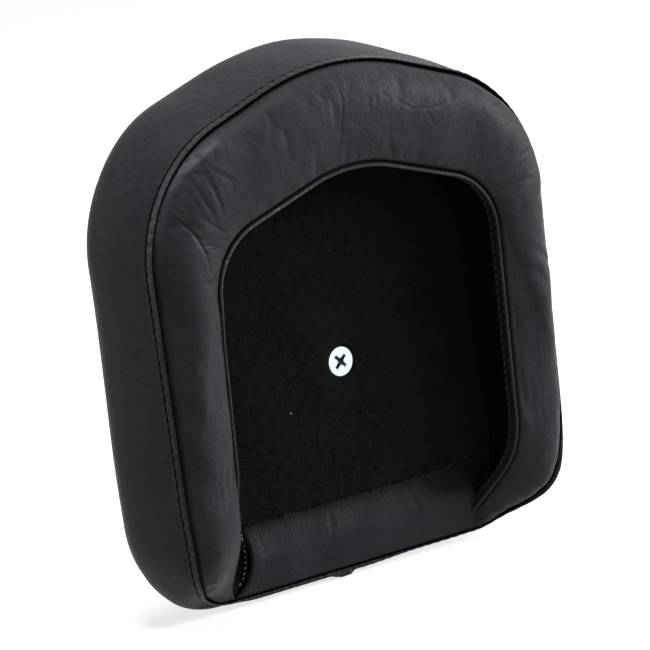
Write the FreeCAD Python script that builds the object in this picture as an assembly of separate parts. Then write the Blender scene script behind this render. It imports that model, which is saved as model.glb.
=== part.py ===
import FreeCAD, Part
import math
import os
from FreeCAD import Vector

# Backrest pad for a sissy bar, millimetres. +Z is up, +Y is the mounting side, X is across.
# The origin is the clamp screw's axis where it meets the carpet's face.

# Cover outline at the rear seam: three corners of the right half, each rounded
half_width = 96.8
side_taper = 3.9
crown_apex_z = 130.4
crown_slope = 19.3
crown_radius = 108.0
shoulder_radius = 57.0
foot_z = -85.5
foot_radius = 35.0

# Rim's inner edge outline
mouth_half_width = 72.2
mouth_apex_z = 87.7
mouth_slope = 18.0
mouth_crown_radius = 68.0
mouth_shoulder_radius = 30.0
mouth_bend_z = -50.0
mouth_bend_radius = 60.0
mouth_foot_half_width = 62.5
mouth_foot_z = -84.0

# Depth of the rear seam and of the rim's inner edge, measured from the carpet's face
seam_height = 18.1
seam_dip_start_z = -64.0
seam_dip_end_z = -90.0
mouth_height = 21.35
mouth_height_slope = -0.031
mouth_foot_height = -7.5
mouth_dip_start_z = -42.0
mouth_dip_end_z = -92.0

# Cushion: the band flares to its widest, leaning up as it goes, then rounds over to the crowned front
band_flare = 4.75
band_lean = 0.07
front_round_y = -15.5
front_round_width = 15.0
front_round_depth = 15.0
front_round_sweep = 76.0
front_crown = 12.0
front_seam_y = -24.0

# Cloth and foam
vinyl = 1.4
lining_thickness = 1.0
facing_thickness = 1.2
facing_width = 12.0
soft_gap = 0.2
rim_bulge = 6.5
rim_foam_floor = 3.0
rim_lip = 4.2
shallow_rim = 8.0
skirt_foam_thickness = 6.0
lap_width = 3.0
lap_height = 0.8
join_start_x = -1.5
join_width = 14.5
join_height = 1.0

# Boards
baseboard_thickness = 9.0
carpet_board_thickness = 4.5
carpet_pile = 2.5
panel_clearance = 2.0
panel_foot_z = -56.0
panel_foot_radius = 13.0
staple_wire = 0.6
staple_crown = 10.0
staple_leg = 6.0
staples_round_rim = 18
staples_on_flap = 5

# Lower flap
flap_left_x = -62.0
flap_right_x = 56.0
flap_tuck = 10.0
flap_rise_z = -58.0
flap_crest_z = -74.0
flap_crest_height = 2.6
lining_tuck = 8.0
lining_tuck_low = -6.0
lining_fade = 30.0

# Clamp screw and tee nut
screw_head_radius = 6.0
screw_head_depth = 3.2
screw_radius = 3.0
screw_length = 24.0
screw_hole_clearance = 0.5
screw_sink = 0.2
recess_span = 7.4
recess_slot = 1.5
recess_depth = 2.2
nut_flange_radius = 9.5
nut_flange_thickness = 1.4
nut_barrel_radius = 4.2
nut_barrel_length = 7.0
thread_clearance = 0.05
prong_count = 4
prong_length = 5.0
prong_width = 2.0
prong_thickness = 1.2
prong_circle_radius = 7.6
seat_gap = 0.1

# Planes that the stack of boards gives
staple_room = vinyl + staple_wire
carpet_board_rear_y = -carpet_pile
carpet_board_front_y = carpet_board_rear_y - carpet_board_thickness
board_rear_y = carpet_board_front_y - staple_room
board_front_y = board_rear_y - baseboard_thickness
seam_foot_height = board_rear_y + vinyl

# Values for the scripts' own use
beyond = 300.0
cap_scales = (1.0, 0.8, 0.6, 0.4, 0.2, 0.04)
band_steps = 7
round_steps = 4
seam_rounds = 6
foot_steps = 5
foot_turn = 0.3
foot_end = 0.97
rim_samples = (0.0, 0.04, 0.13, 0.28, 0.5, 0.75, 1.0)


def smooth_step(value):
    """Rises from 0 to 1 with level ends."""
    value = min(max(value, 0.0), 1.0)
    return value * value * (3.0 - 2.0 * value)


def dipping_height(z, height, slope, foot_height, start_z, end_z):
    """A sloping line over the sides and top that dips to the foot's height at the lower corners."""
    share = smooth_step((start_z - z) / (start_z - end_z))
    return (height - slope * z) * (1.0 - share) + foot_height * share


def seam_y(z):
    return dipping_height(z, seam_height, 0.0, seam_foot_height, seam_dip_start_z, seam_dip_end_z)


def mouth_y(z):
    return dipping_height(
        z, mouth_height, mouth_height_slope, mouth_foot_height, mouth_dip_start_z, mouth_dip_end_z
    )


def flare(y):
    """How far the band stands outside the seam outline at a depth."""
    share = (seam_height - y) / (seam_height - front_round_y)
    return band_flare * math.sin(math.pi / 2.0 * min(max(share, 0.0), 1.0))


def lean(y):
    """How far the cushion stands up from the outline at a depth."""
    return band_lean * (seam_height - y)


def line_meeting(a, b, c, d):
    """Where the line through a and b meets the line through c and d, in X and Z."""
    ab = (b[0] - a[0], b[1] - a[1])
    cd = (d[0] - c[0], d[1] - c[1])
    cross = ab[0] * cd[1] - ab[1] * cd[0]
    t = ((c[0] - a[0]) * cd[1] - (c[1] - a[1]) * cd[0]) / cross
    return (a[0] + ab[0] * t, a[1] + ab[1] * t)


def inset_corners(corners, inset):
    """Corners (x, z, radius) of a clockwise convex outline, moved inwards."""
    count = len(corners)
    lines = []
    for i in range(count):
        a = corners[i]
        b = corners[(i + 1) % count]
        length = math.hypot(b[0] - a[0], b[1] - a[1])
        inward = ((b[1] - a[1]) / length, -(b[0] - a[0]) / length)
        shift = (inward[0] * inset, inward[1] * inset)
        lines.append(((a[0] + shift[0], a[1] + shift[1]), (b[0] + shift[0], b[1] + shift[1])))
    moved = []
    for i in range(count):
        meeting = line_meeting(*lines[i - 1], *lines[i])
        moved.append((meeting[0], meeting[1], corners[i][2] - inset))
    return moved


def corner_arc(before, corner, after):
    """Start, middle and end of the arc that rounds a corner."""
    point = Vector(corner[0], 0, corner[1])
    to_before = (Vector(before[0], 0, before[1]) - point).normalize()
    to_after = (Vector(after[0], 0, after[1]) - point).normalize()
    half_angle = to_before.getAngle(to_after) / 2.0
    reach = corner[2] / math.tan(half_angle)
    bisector = (to_before + to_after).normalize()
    middle = point + bisector * (corner[2] / math.sin(half_angle) - corner[2])
    return point + to_before * reach, middle, point + to_after * reach


def rounded_wire(corners, y, scale=1.0, centre=(0.0, 0.0)):
    """A closed outline of lines and tangent arcs at one depth."""
    count = len(corners)
    arcs = []
    for i in range(count):
        arc = corner_arc(corners[i - 1], corners[i], corners[(i + 1) % count])
        arcs.append([
            Vector(centre[0] + (p.x - centre[0]) * scale, y, centre[1] + (p.z - centre[1]) * scale)
            for p in arc
        ])
    edges = []
    for i in range(count):
        edges.append(Part.Arc(*arcs[i]).toShape())
        edges.append(Part.LineSegment(arcs[i][2], arcs[(i + 1) % count][0]).toShape())
    return Part.Wire(edges)


def prism(wire, depth):
    """Extrudes a flat outline towards +Y, or towards -Y if depth is negative."""
    return Part.Face(wire).extrude(Vector(0, depth, 0))


# Corner polygons, clockwise seen from the front: apex, right shoulder, right foot, then the left half
shoulder_z = crown_apex_z - (half_width + side_taper / 2.0) * math.tan(math.radians(crown_slope))
cover_corners = [
    (0.0, crown_apex_z, crown_radius),
    (half_width + side_taper / 2.0, shoulder_z, shoulder_radius),
    (half_width - side_taper / 2.0, foot_z, foot_radius),
    (-half_width + side_taper / 2.0, foot_z, foot_radius),
    (-half_width - side_taper / 2.0, shoulder_z, shoulder_radius),
]
mouth_shoulder_z = mouth_apex_z - mouth_half_width * math.tan(math.radians(mouth_slope))
mouth_corners = [
    (0.0, mouth_apex_z, mouth_crown_radius),
    (mouth_half_width, mouth_shoulder_z, mouth_shoulder_radius),
    (mouth_half_width, mouth_bend_z, mouth_bend_radius),
    (mouth_foot_half_width, mouth_foot_z, 0.0),
]
panel_corners = [
    (0.0, mouth_apex_z, mouth_crown_radius),
    (mouth_half_width, mouth_shoulder_z, mouth_shoulder_radius),
    (mouth_half_width, panel_foot_z - panel_clearance, panel_foot_radius + panel_clearance),
    (-mouth_half_width, panel_foot_z - panel_clearance, panel_foot_radius + panel_clearance),
    (-mouth_half_width, mouth_shoulder_z, mouth_shoulder_radius),
]
cover_centre = (0.0, (crown_apex_z + foot_z) / 2.0)


# Cushion body

def cover_wire(inset, y, scale=1.0):
    wire = rounded_wire(inset_corners(cover_corners, inset), y, scale, cover_centre)
    wire.translate(Vector(0, 0, lean(y)))
    return wire


def cushion_body(skin):
    """The solid inside the cover, with the cover's surface moved inwards by skin."""
    sections = []
    top_y = 2 * seam_height
    for step in range(band_steps + 1):
        y = top_y + (front_round_y - top_y) * step / band_steps
        sections.append(cover_wire(skin - flare(y), y))
    for step in range(1, round_steps + 1):
        angle = math.radians(front_round_sweep * step / round_steps)
        inset = front_round_width * (1.0 - math.cos(angle)) - band_flare + skin * math.cos(angle)
        y = front_round_y - front_round_depth * math.sin(angle) + skin * math.sin(angle)
        sections.append(cover_wire(inset, y))
    cap_sections = []
    for scale in cap_scales:
        cap_y = y - front_crown * (1.0 - scale * scale)
        cap_sections.append(cover_wire(inset, cap_y, scale))
    body = Part.makeLoft(sections, True, False)
    return body.fuse(Part.makeLoft(cap_sections, True, False)).removeSplitter()


def slab(low_y, high_y):
    return Part.makeBox(
        2 * beyond, high_y - low_y, 2 * beyond, Vector(-beyond, low_y, -beyond)
    )


def behind_seam(lift=0.0):
    """Everything on the mounting side of the rear seam's curved surface."""
    steps = 9
    dip = []
    for i in range(steps + 1):
        z = seam_dip_start_z + (seam_dip_end_z - seam_dip_start_z) * i / steps
        dip.append(Vector(0, seam_y(z) + lift, z + lean(seam_y(z) + lift)))
    curve = Part.BSplineCurve()
    curve.interpolate(dip)
    top = Vector(0, seam_y(beyond / 2) + lift, beyond / 2)
    low = Vector(0, seam_foot_height + lift, -beyond / 2)
    rear_low = Vector(0, beyond, -beyond / 2)
    rear_top = Vector(0, beyond, beyond / 2)
    wire = Part.Wire([
        Part.LineSegment(top, dip[0]).toShape(),
        curve.toShape(),
        Part.LineSegment(dip[-1], low).toShape(),
        Part.LineSegment(low, rear_low).toShape(),
        Part.LineSegment(rear_low, rear_top).toShape(),
        Part.LineSegment(rear_top, top).toShape(),
    ])
    wire.translate(Vector(-beyond / 2, 0, 0))
    return Part.Face(wire).extrude(Vector(beyond, 0, 0))


def make_side_band(outer, inner):
    """The boxing strip, with its folded lap along the rear seam and the lap's join at the foot."""
    strip = outer.cut(inner).common(slab(front_seam_y, beyond))
    strip = strip.cut(behind_seam())
    lap = cushion_body(-lap_height).cut(outer).common(slab(front_seam_y, beyond))
    lap = lap.cut(behind_seam()).common(behind_seam(-lap_width))
    join = Part.makeBox(
        join_width, lap_width, join_height + vinyl, Vector(join_start_x, seam_foot_height - lap_width, 0)
    )
    join.translate(Vector(0, 0, foot_z + lean(seam_foot_height) - flare(seam_foot_height) - join_height))
    return strip.fuse([lap, join]).removeSplitter()


def make_front_panel(outer, inner):
    return outer.cut(inner).common(slab(-beyond, front_seam_y))


# Rim and channel pieces, lofted over matched stations of the two outlines

def station_points():
    """Pairs of points, on the seam outline and on the rim's inner edge, from the crown to the foot."""
    left_shoulder = (-mouth_half_width, mouth_shoulder_z)
    mouth_crown = corner_arc(left_shoulder, mouth_corners[0], mouth_corners[1])
    mouth_shoulder = corner_arc(mouth_corners[0], mouth_corners[1], mouth_corners[2])
    mouth_bend = corner_arc(mouth_corners[1], mouth_corners[2], mouth_corners[3])
    mouth_end = Vector(mouth_corners[3][0], 0, mouth_corners[3][1])
    pairs = []
    for share in (0.5, 0.7, 0.85, 1.0):
        pairs.append((seam_point(lambda arcs: on_arc(arcs[0], share)), on_arc(mouth_crown, share)))
    pairs.append((
        seam_point(lambda arcs: between(arcs[0][2], arcs[1][0])),
        between(mouth_crown[2], mouth_shoulder[0]),
    ))
    for share in (0.0, 0.33, 0.67, 1.0):
        pairs.append((seam_point(lambda arcs: on_arc(arcs[1], share)), on_arc(mouth_shoulder, share)))
    for share in (0.25, 0.5, 0.75, 1.0):
        pairs.append((
            seam_point(lambda arcs: between(arcs[1][2], arcs[2][0], share)),
            between(mouth_shoulder[2], mouth_bend[0], share),
        ))
    pairs.append((seam_point(lambda arcs: on_arc(arcs[2], foot_turn / 2.0)), mouth_bend[1]))
    for step in range(foot_steps + 1):
        share = foot_turn + (foot_end - foot_turn) * step / foot_steps
        low = between(mouth_bend[2], mouth_end, step / foot_steps)
        pairs.append((seam_point(lambda arcs: on_arc(arcs[2], share)), low))
    return pairs


def seam_point(pick):
    """A picked point of the outline with its seam depth, moved out by the flare at that depth."""
    y = seam_height
    for attempt in range(seam_rounds):
        point = pick(cover_arcs(flare(y)))
        y = seam_y(point.z)
    return Vector(point.x, y, point.z)


def cover_arcs(offset):
    """The crown, right shoulder and right foot arcs of the outline moved outwards."""
    corners = inset_corners(cover_corners, -offset)
    return [corner_arc(corners[i - 1], corners[i], corners[i + 1]) for i in (0, 1, 2)]


def on_arc(arc, share):
    curve = Part.Arc(*arc)
    return curve.value(curve.FirstParameter + (curve.LastParameter - curve.FirstParameter) * share)


def between(start, end, share=0.5):
    return start + (end - start) * share


class Station:
    """A section plane across the rim: a is measured in from the seam, y is the depth."""

    def __init__(self, outer, inner):
        self.start_y = outer.y
        self.end_y = mouth_y(inner.z)
        self.origin = Vector(outer.x, 0, outer.z)
        across = inner - self.origin
        self.width = across.Length
        self.along = across.normalize()
        self.bulge = min(rim_bulge, 0.26 * self.width)

    def mirrored(self):
        other = Station.__new__(Station)
        other.__dict__.update(self.__dict__)
        other.origin = Vector(-self.origin.x, 0, self.origin.z)
        other.along = Vector(-self.along.x, 0, self.along.z)
        return other

    def at(self, a, y):
        point = self.origin + self.along * a
        return Vector(point.x, y, point.z + lean(y))

    def chord(self, a):
        return self.start_y + (self.end_y - self.start_y) * a / self.width

    def arch(self, t):
        """The rim's padded surface: steep by the seam and falling gently to the inner edge."""
        a = t * self.width
        return a, self.chord(a) + self.bulge * math.sin(math.pi * t ** 0.6)

    def arch_curve(self, depth, last_a):
        """The rim's surface moved inwards by a thickness, as points."""
        points = []
        for t in rim_samples:
            a, y = self.arch(t)
            before = self.arch(max(t - 0.01, 0.0))
            after = self.arch(min(t + 0.01, 1.0))
            slope = math.hypot(after[0] - before[0], after[1] - before[1])
            a_moved = a + (after[1] - before[1]) / slope * depth
            y_moved = y - (after[0] - before[0]) / slope * depth
            points.append((min(max(a_moved, depth), last_a), y_moved))
        return points


class Skin:
    """A closed section carried along the horseshoe, with a smooth strip between rails on each side."""

    def __init__(self, stations, section):
        self.stations = [s.mirrored() for s in stations[:0:-1]] + stations
        self.sections = [section(s) for s in self.stations]
        steps = [0.0]
        for before, after in zip(self.stations, self.stations[1:]):
            steps.append(steps[-1] + (after.at(before.width / 2, 0) - before.at(before.width / 2, 0)).Length)
        self.shares = [step / steps[-1] for step in steps]

    def rail(self, side, i):
        """The curve through one point of every section."""
        points = [s.at(*sec[side][i]) for s, sec in zip(self.stations, self.sections)]
        curve = Part.BSplineCurve()
        curve.interpolate(Points=points, Parameters=self.shares)
        return curve

    def strip(self, side):
        """The face that one side of the section sweeps."""
        count = len(self.sections[0][side])
        rails = [self.rail(side, i) for i in range(count)]
        shares = [i / (count - 1.0) for i in range(count)]
        columns = []
        for poles in zip(*[rail.getPoles() for rail in rails]):
            across = Part.BSplineCurve()
            if count > 2:
                across.interpolate(Points=list(poles), Parameters=shares)
            else:
                across.buildFromPoles(list(poles), False, 1)
            columns.append(across)
        surface = Part.BSplineSurface()
        surface.buildFromPolesMultsKnots(
            [column.getPoles() for column in columns],
            rails[0].getMultiplicities(),
            columns[0].getMultiplicities(),
            rails[0].getKnots(),
            columns[0].getKnots(),
            False,
            False,
            rails[0].Degree,
            columns[0].Degree,
        )
        return surface.toShape()

    def solid(self):
        strips = [self.strip(side) for side in range(len(self.sections[0]))]
        caps = []
        for place in (0, -1):
            edges = [self.end_edge(strip, self.stations[place]) for strip in strips]
            caps.append(Part.Face(Part.Wire(Part.__sortEdges__(edges))))
        shell = Part.makeShell(strips + caps)
        shell.sewShape()
        made = Part.makeSolid(Part.Shell(shell.Faces))
        return made if made.Volume > 0 else made.reversed()

    @staticmethod
    def end_edge(strip, station):
        """The edge of a strip that lies in an end station's plane."""
        foot = station.at(0.0, 0.0)
        normal = station.along.cross(Vector(0, 1, -band_lean))
        return min(
            strip.Edges,
            key=lambda e: max(abs((e.valueAt(p) - foot).dot(normal)) for p in e.ParameterRange),
        )


def closed_polygon(points):
    """The straight sides of a section, each a pair of points."""
    return [[points[i], points[(i + 1) % len(points)]] for i in range(len(points))]


def rim_panel_section(station):
    outer = [station.arch(t) for t in rim_samples]
    inner_end = station.width - vinyl
    inner = station.arch_curve(vinyl, inner_end)[::-1]
    lip_y = max(station.end_y - rim_lip, board_rear_y + vinyl + lining_thickness)
    lip_y = min(lip_y, inner[0][1] - seat_gap)
    lip = [(station.width, lip_y), (inner_end, lip_y)]
    return [outer, [outer[-1], lip[0]], lip, [lip[1], inner[0]], inner, [inner[-1], outer[0]]]


def rim_foam_section(station):
    depth = vinyl + soft_gap
    last_a = station.width - depth
    top = station.arch_curve(depth, last_a)
    low_inner = (last_a, station.chord(last_a) - rim_foam_floor)
    low_outer = (depth, station.chord(depth) - rim_foam_floor)
    return [top, [top[-1], low_inner], [low_inner, low_outer], [low_outer, top[0]]]


def under_foam(station, a):
    return station.chord(a) - rim_foam_floor - soft_gap


def rim_facing_section(station):
    near = station.width - facing_reach(station)
    far = station.width - vinyl - soft_gap
    return closed_polygon([
        (near, under_foam(station, near)),
        (far, under_foam(station, far)),
        (far, under_foam(station, far) - facing_thickness),
        (near, under_foam(station, near) - facing_thickness),
    ])


def facing_reach(station):
    """The facing narrows with the rim near the foot."""
    return min(facing_width, 0.4 * station.width)


def skirt_foam_section(station):
    near = vinyl + soft_gap
    far = near + skirt_foam_thickness
    spread = flare(board_rear_y) - flare(station.start_y)
    return closed_polygon([
        (near - spread, board_rear_y),
        (far, board_rear_y),
        (far, under_foam(station, far)),
        (near, under_foam(station, near)),
    ])


def pocket_lining_section(station):
    near = vinyl + soft_gap + skirt_foam_thickness + soft_gap
    wall = near + lining_thickness
    roof_end = station.width - facing_reach(station) - soft_gap
    tuck_end = station.width + lining_tuck_low + (lining_tuck - lining_tuck_low) * smooth_step(
        (station.origin.z - seam_dip_start_z) / lining_fade
    )
    floor_y = board_rear_y + lining_thickness
    return closed_polygon([
        (near, board_rear_y),
        (tuck_end, board_rear_y),
        (tuck_end, floor_y),
        (wall, floor_y),
        (wall, under_foam(station, wall) - lining_thickness),
        (roof_end, under_foam(station, roof_end) - lining_thickness),
        (roof_end, under_foam(station, roof_end)),
        (near, under_foam(station, near)),
    ])


def horseshoe(section, stations):
    return Skin(stations, section).solid()


# Boards and carpet

def make_baseboard():
    board = cushion_body(vinyl + soft_gap).common(slab(board_front_y, board_rear_y))
    return board.cut(screw_hole(nut_barrel_radius + seat_gap))


def screw_hole(radius):
    return Part.makeCylinder(radius, beyond, Vector(0, -beyond / 2, 0), Vector(0, 1, 0))


def panel_wire(inset, y):
    return rounded_wire(inset_corners(panel_corners, panel_clearance + inset), y)


def make_carpet_board():
    board = prism(panel_wire(carpet_pile, carpet_board_front_y), carpet_board_thickness)
    return board.cut(screw_hole(screw_radius + screw_hole_clearance)).cut(head_cone(seat_gap))


def make_carpet():
    """The pile cloth over the closing board's face and round its edge."""
    cloth = prism(panel_wire(0.0, carpet_board_front_y), -carpet_board_front_y)
    core = prism(panel_wire(carpet_pile, carpet_board_front_y), carpet_board_thickness)
    return cloth.cut(core).cut(head_cone(seat_gap)).cut(screw_hole(screw_radius + screw_hole_clearance))


# Clamp screw, tee nut and staples

def head_cone(room=0.0):
    top_y = -screw_sink
    cone = Part.makeCone(
        screw_radius + room,
        screw_head_radius + room,
        screw_head_depth,
        Vector(0, top_y - screw_head_depth, 0),
        Vector(0, 1, 0),
    )
    if room == 0.0:
        return cone
    mouth = Part.makeCylinder(screw_head_radius + room, beyond, Vector(0, top_y, 0), Vector(0, 1, 0))
    return cone.fuse(mouth)


def make_clamp_screw():
    """Flat head screw with a cross recess that narrows with depth."""
    shank_top_y = -screw_sink - screw_head_depth
    shank = Part.makeCylinder(
        screw_radius, screw_length - screw_head_depth, Vector(0, shank_top_y, 0), Vector(0, -1, 0)
    )
    screw = head_cone().fuse(shank).removeSplitter()
    for turn in (45, 135):
        half_span = recess_span / 2.0
        floor_y = -screw_sink - recess_depth
        profile = Part.makePolygon([
            Vector(-half_span, -screw_sink + seat_gap, 0),
            Vector(half_span, -screw_sink + seat_gap, 0),
            Vector(recess_slot, floor_y, 0),
            Vector(-recess_slot, floor_y, 0),
            Vector(-half_span, -screw_sink + seat_gap, 0),
        ])
        slot = Part.Face(profile).extrude(Vector(0, 0, recess_slot))
        slot.translate(Vector(0, 0, -recess_slot / 2.0))
        slot.rotate(Vector(0, 0, 0), Vector(0, 1, 0), turn)
        screw = screw.cut(slot)
    return screw


def make_tee_nut():
    """Flanged nut pressed into the board from the cushion's side, with prongs bent from its flange."""
    flange = Part.makeCylinder(
        nut_flange_radius, nut_flange_thickness, Vector(0, board_front_y, 0), Vector(0, -1, 0)
    )
    barrel = Part.makeCylinder(
        nut_barrel_radius, nut_barrel_length, Vector(0, board_front_y, 0), Vector(0, 1, 0)
    )
    nut = flange.fuse(barrel)
    for prong in prongs(0.0):
        nut = nut.fuse(prong)
    return nut.cut(screw_hole(screw_radius + thread_clearance)).removeSplitter()


def prongs(room):
    """The nut's prongs, or with room the slots that they press into the board."""
    made = []
    for i in range(prong_count):
        prong = Part.makeBox(
            prong_thickness + 2 * room,
            prong_length + room,
            prong_width + 2 * room,
            Vector(
                prong_circle_radius - prong_thickness / 2.0 - room,
                board_front_y,
                -prong_width / 2.0 - room,
            ),
        )
        prong.rotate(Vector(0, 0, 0), Vector(0, 1, 0), 360.0 * i / prong_count)
        made.append(prong)
    return made


def staple(point, direction, seat_y, room=0.0):
    """A staple with its crown along a direction, its legs in the board."""
    crown = Part.makeBox(
        staple_crown + 2 * room,
        staple_wire,
        staple_wire + 2 * room,
        Vector(-staple_crown / 2.0 - room, seat_y, -staple_wire / 2.0 - room),
    )
    legs = []
    for side in (-1, 1):
        legs.append(Part.makeBox(
            staple_wire + 2 * room,
            staple_leg + room,
            staple_wire + 2 * room,
            Vector(
                side * (staple_crown - staple_wire) / 2.0 - staple_wire / 2.0 - room,
                seat_y - staple_leg - room,
                -staple_wire / 2.0 - room,
            ),
        ))
    made = crown.fuse(legs).removeSplitter() if room == 0.0 else legs[0].fuse(legs[1])
    angle = math.degrees(math.atan2(-direction.z, direction.x))
    made.rotate(Vector(0, 0, 0), Vector(0, 1, 0), angle)
    made.translate(Vector(point.x, 0, point.z))
    return made


def staple_places():
    """Where the staples go: round the lining's tucked edge, and along the flap's tucked edge."""
    places = []
    rim_count = round(staples_round_rim)
    flap_count = round(staples_on_flap)
    tuck_wire = rounded_wire(inset_corners(panel_corners, lining_tuck / 2.0), 0.0)
    points = tuck_wire.discretize(Number=rim_count * 4)
    low_z = panel_foot_z + flap_tuck + staple_crown
    usable = [i for i in range(1, len(points) - 1) if points[i].z > low_z]
    step = max(len(usable) // rim_count, 1)
    for i in usable[step // 2::step]:
        places.append((points[i], points[i + 1] - points[i - 1], board_rear_y + lining_thickness))
    flap_z = panel_foot_z + flap_tuck / 2.0
    for i in range(flap_count):
        x = flap_left_x + (flap_right_x - flap_left_x) * (i + 0.5) / flap_count
        places.append((Vector(x, 0, flap_z), Vector(1, 0, 0), board_rear_y + vinyl))
    return places


def staple_group(room=0.0):
    """All the staples in one group, or with room round them as the slots they go into."""
    return Part.makeCompound([staple(*place, room) for place in staple_places()])


# Lower flap and the foam under it

def flap_line(lift):
    """The flap's path from under the closing panel, over the padded foot, to the bottom seam."""
    start = Vector(0, board_rear_y + lift, panel_foot_z + flap_tuck)
    bend = Vector(0, board_rear_y + lift, flap_rise_z)
    crest = Vector(0, board_rear_y + flap_crest_height + lift, flap_crest_z)
    end_z = foot_z + lean(board_rear_y) - flare(board_rear_y) + vinyl + seat_gap
    end = Vector(0, board_rear_y + max(lift, 0.0), end_z)
    rise = Part.BSplineCurve()
    rise.interpolate(
        [bend, (bend + crest) * 0.5, crest, end],
        InitialTangent=Vector(0, 0, -1),
        FinalTangent=Vector(0, -0.4, -1),
    )
    return start, bend, rise, end


def make_lower_flap():
    low_start, low_bend, low_rise, low_end = flap_line(0.0)
    top_start, top_bend, top_rise, top_end = flap_line(vinyl)
    wire = Part.Wire([
        Part.LineSegment(low_start, low_bend).toShape(),
        low_rise.toShape(),
        Part.LineSegment(low_end, top_end).toShape(),
        top_rise.toShape(),
        Part.LineSegment(top_bend, top_start).toShape(),
        Part.LineSegment(top_start, low_start).toShape(),
    ])
    wire.translate(Vector(flap_left_x, 0, 0))
    return Part.Face(wire).extrude(Vector(flap_right_x - flap_left_x, 0, 0))


def make_foot_foam():
    """The padding between the board's face and the flap."""
    start, bend, rise, end = flap_line(-soft_gap)
    below = Vector(0, board_rear_y - vinyl, end.z)
    wire = Part.Wire([
        rise.toShape(),
        Part.LineSegment(end, below).toShape(),
        Part.LineSegment(below, bend).toShape(),
    ])
    wire.translate(Vector(flap_left_x, 0, 0))
    foam = Part.Face(wire).extrude(Vector(flap_right_x - flap_left_x, 0, 0))
    return foam.common(slab(board_rear_y + seat_gap, beyond))


def make_foam_core():
    core = cushion_body(vinyl + soft_gap).common(slab(-beyond, board_front_y - seat_gap))
    flange_pocket = Part.makeCylinder(
        nut_flange_radius + seat_gap,
        nut_flange_thickness + seat_gap,
        Vector(0, board_front_y, 0),
        Vector(0, -1, 0),
    )
    screw_end_y = -screw_sink - screw_length - seat_gap
    end_pocket = Part.makeCylinder(
        screw_radius + screw_hole_clearance, beyond, Vector(0, screw_end_y, 0), Vector(0, 1, 0)
    )
    return core.cut(flange_pocket).cut(end_pocket)


def save(name, shape):
    shape.exportStep(os.path.join("parts", name + ".step"))
    print(name, "valid", shape.isValid(), "solids", len(shape.Solids), "cm3 %.2f" % (shape.Volume / 1000))


def main():
    os.makedirs("parts", exist_ok=True)
    outer = cushion_body(0.0)
    inner = cushion_body(vinyl)
    stations = [Station(outer_point, inner_point) for outer_point, inner_point in station_points()]
    padded = [s for s in stations if s.start_y > board_rear_y + shallow_rim]

    save("front_panel", make_front_panel(outer, inner))
    save("side_band", make_side_band(outer, inner))
    save("foam_core", make_foam_core())
    save("rim_panel", horseshoe(rim_panel_section, stations))
    save("rim_foam", horseshoe(rim_foam_section, padded))
    save("rim_facing", horseshoe(rim_facing_section, padded))
    save("skirt_foam", horseshoe(skirt_foam_section, padded))

    staples = staple_group()
    staple_slots = staple_group(seat_gap)
    save("pocket_lining", horseshoe(pocket_lining_section, padded).cut(staple_slots))
    baseboard = make_baseboard().cut(staple_slots)
    for slot in prongs(seat_gap):
        baseboard = baseboard.cut(slot)
    save("baseboard", baseboard)
    save("staples", staples)
    save("lower_flap", make_lower_flap().cut(staple_slots))
    save("foot_foam", make_foot_foam())
    save("carpet_board", make_carpet_board())
    save("carpet", make_carpet())
    save("clamp_screw", make_clamp_screw())
    save("tee_nut", make_tee_nut())


main()
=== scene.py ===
"""Dresses the sissy bar pad: vinyl cover, padded rim, pocket, carpeted closing panel and its hardware."""
import logging
import math
from dataclasses import dataclass, field
from enum import Enum
from typing import Any, Optional, Sequence

import bmesh
import bpy
import numpy as np
from mathutils import Matrix, Vector


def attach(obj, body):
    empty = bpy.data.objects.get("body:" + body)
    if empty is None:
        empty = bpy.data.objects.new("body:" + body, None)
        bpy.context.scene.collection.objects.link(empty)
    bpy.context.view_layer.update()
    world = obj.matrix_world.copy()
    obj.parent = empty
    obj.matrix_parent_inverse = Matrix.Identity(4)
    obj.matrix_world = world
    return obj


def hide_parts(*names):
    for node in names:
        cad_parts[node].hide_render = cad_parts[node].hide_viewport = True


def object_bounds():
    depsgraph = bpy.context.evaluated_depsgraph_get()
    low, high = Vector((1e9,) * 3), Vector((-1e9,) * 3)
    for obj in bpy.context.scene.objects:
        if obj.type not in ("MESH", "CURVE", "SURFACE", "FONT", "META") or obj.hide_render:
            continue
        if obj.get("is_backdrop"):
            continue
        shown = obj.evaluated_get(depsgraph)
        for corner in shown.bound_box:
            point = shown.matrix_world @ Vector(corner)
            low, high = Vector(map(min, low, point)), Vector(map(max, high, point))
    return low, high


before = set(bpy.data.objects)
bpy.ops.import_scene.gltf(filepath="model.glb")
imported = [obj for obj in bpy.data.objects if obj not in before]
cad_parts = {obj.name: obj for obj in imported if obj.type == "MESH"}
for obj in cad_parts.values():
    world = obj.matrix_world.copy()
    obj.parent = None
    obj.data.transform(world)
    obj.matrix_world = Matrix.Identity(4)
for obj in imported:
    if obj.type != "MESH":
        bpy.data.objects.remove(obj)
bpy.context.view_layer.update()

LOG = logging.getLogger("sissy_bar_pad")
MM = 0.001
ARC_POINTS = 160
SEAM_ROUNDS = 30
Array = np.ndarray
Point = tuple[float, float]
Triple = tuple[float, float, float]
Spot = tuple[float, float, float, float]


# Small array helpers

def smooth_step(value: Array) -> Array:
    """Rises from 0 to 1 with level ends: 3 v squared minus 2 v cubed, clamped."""
    v = np.clip(value, 0.0, 1.0)
    return v * v * (3.0 - 2.0 * v)


def bell(distance: Array, reach: float) -> Array:
    """Falls off from 1 like exp of minus (distance over reach) squared."""
    return np.exp(-((distance / reach) ** 2))


def unit(vectors: Array) -> Array:
    """Vectors of length 1 in the same directions."""
    return vectors / np.linalg.norm(vectors, axis=-1, keepdims=True)


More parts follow.
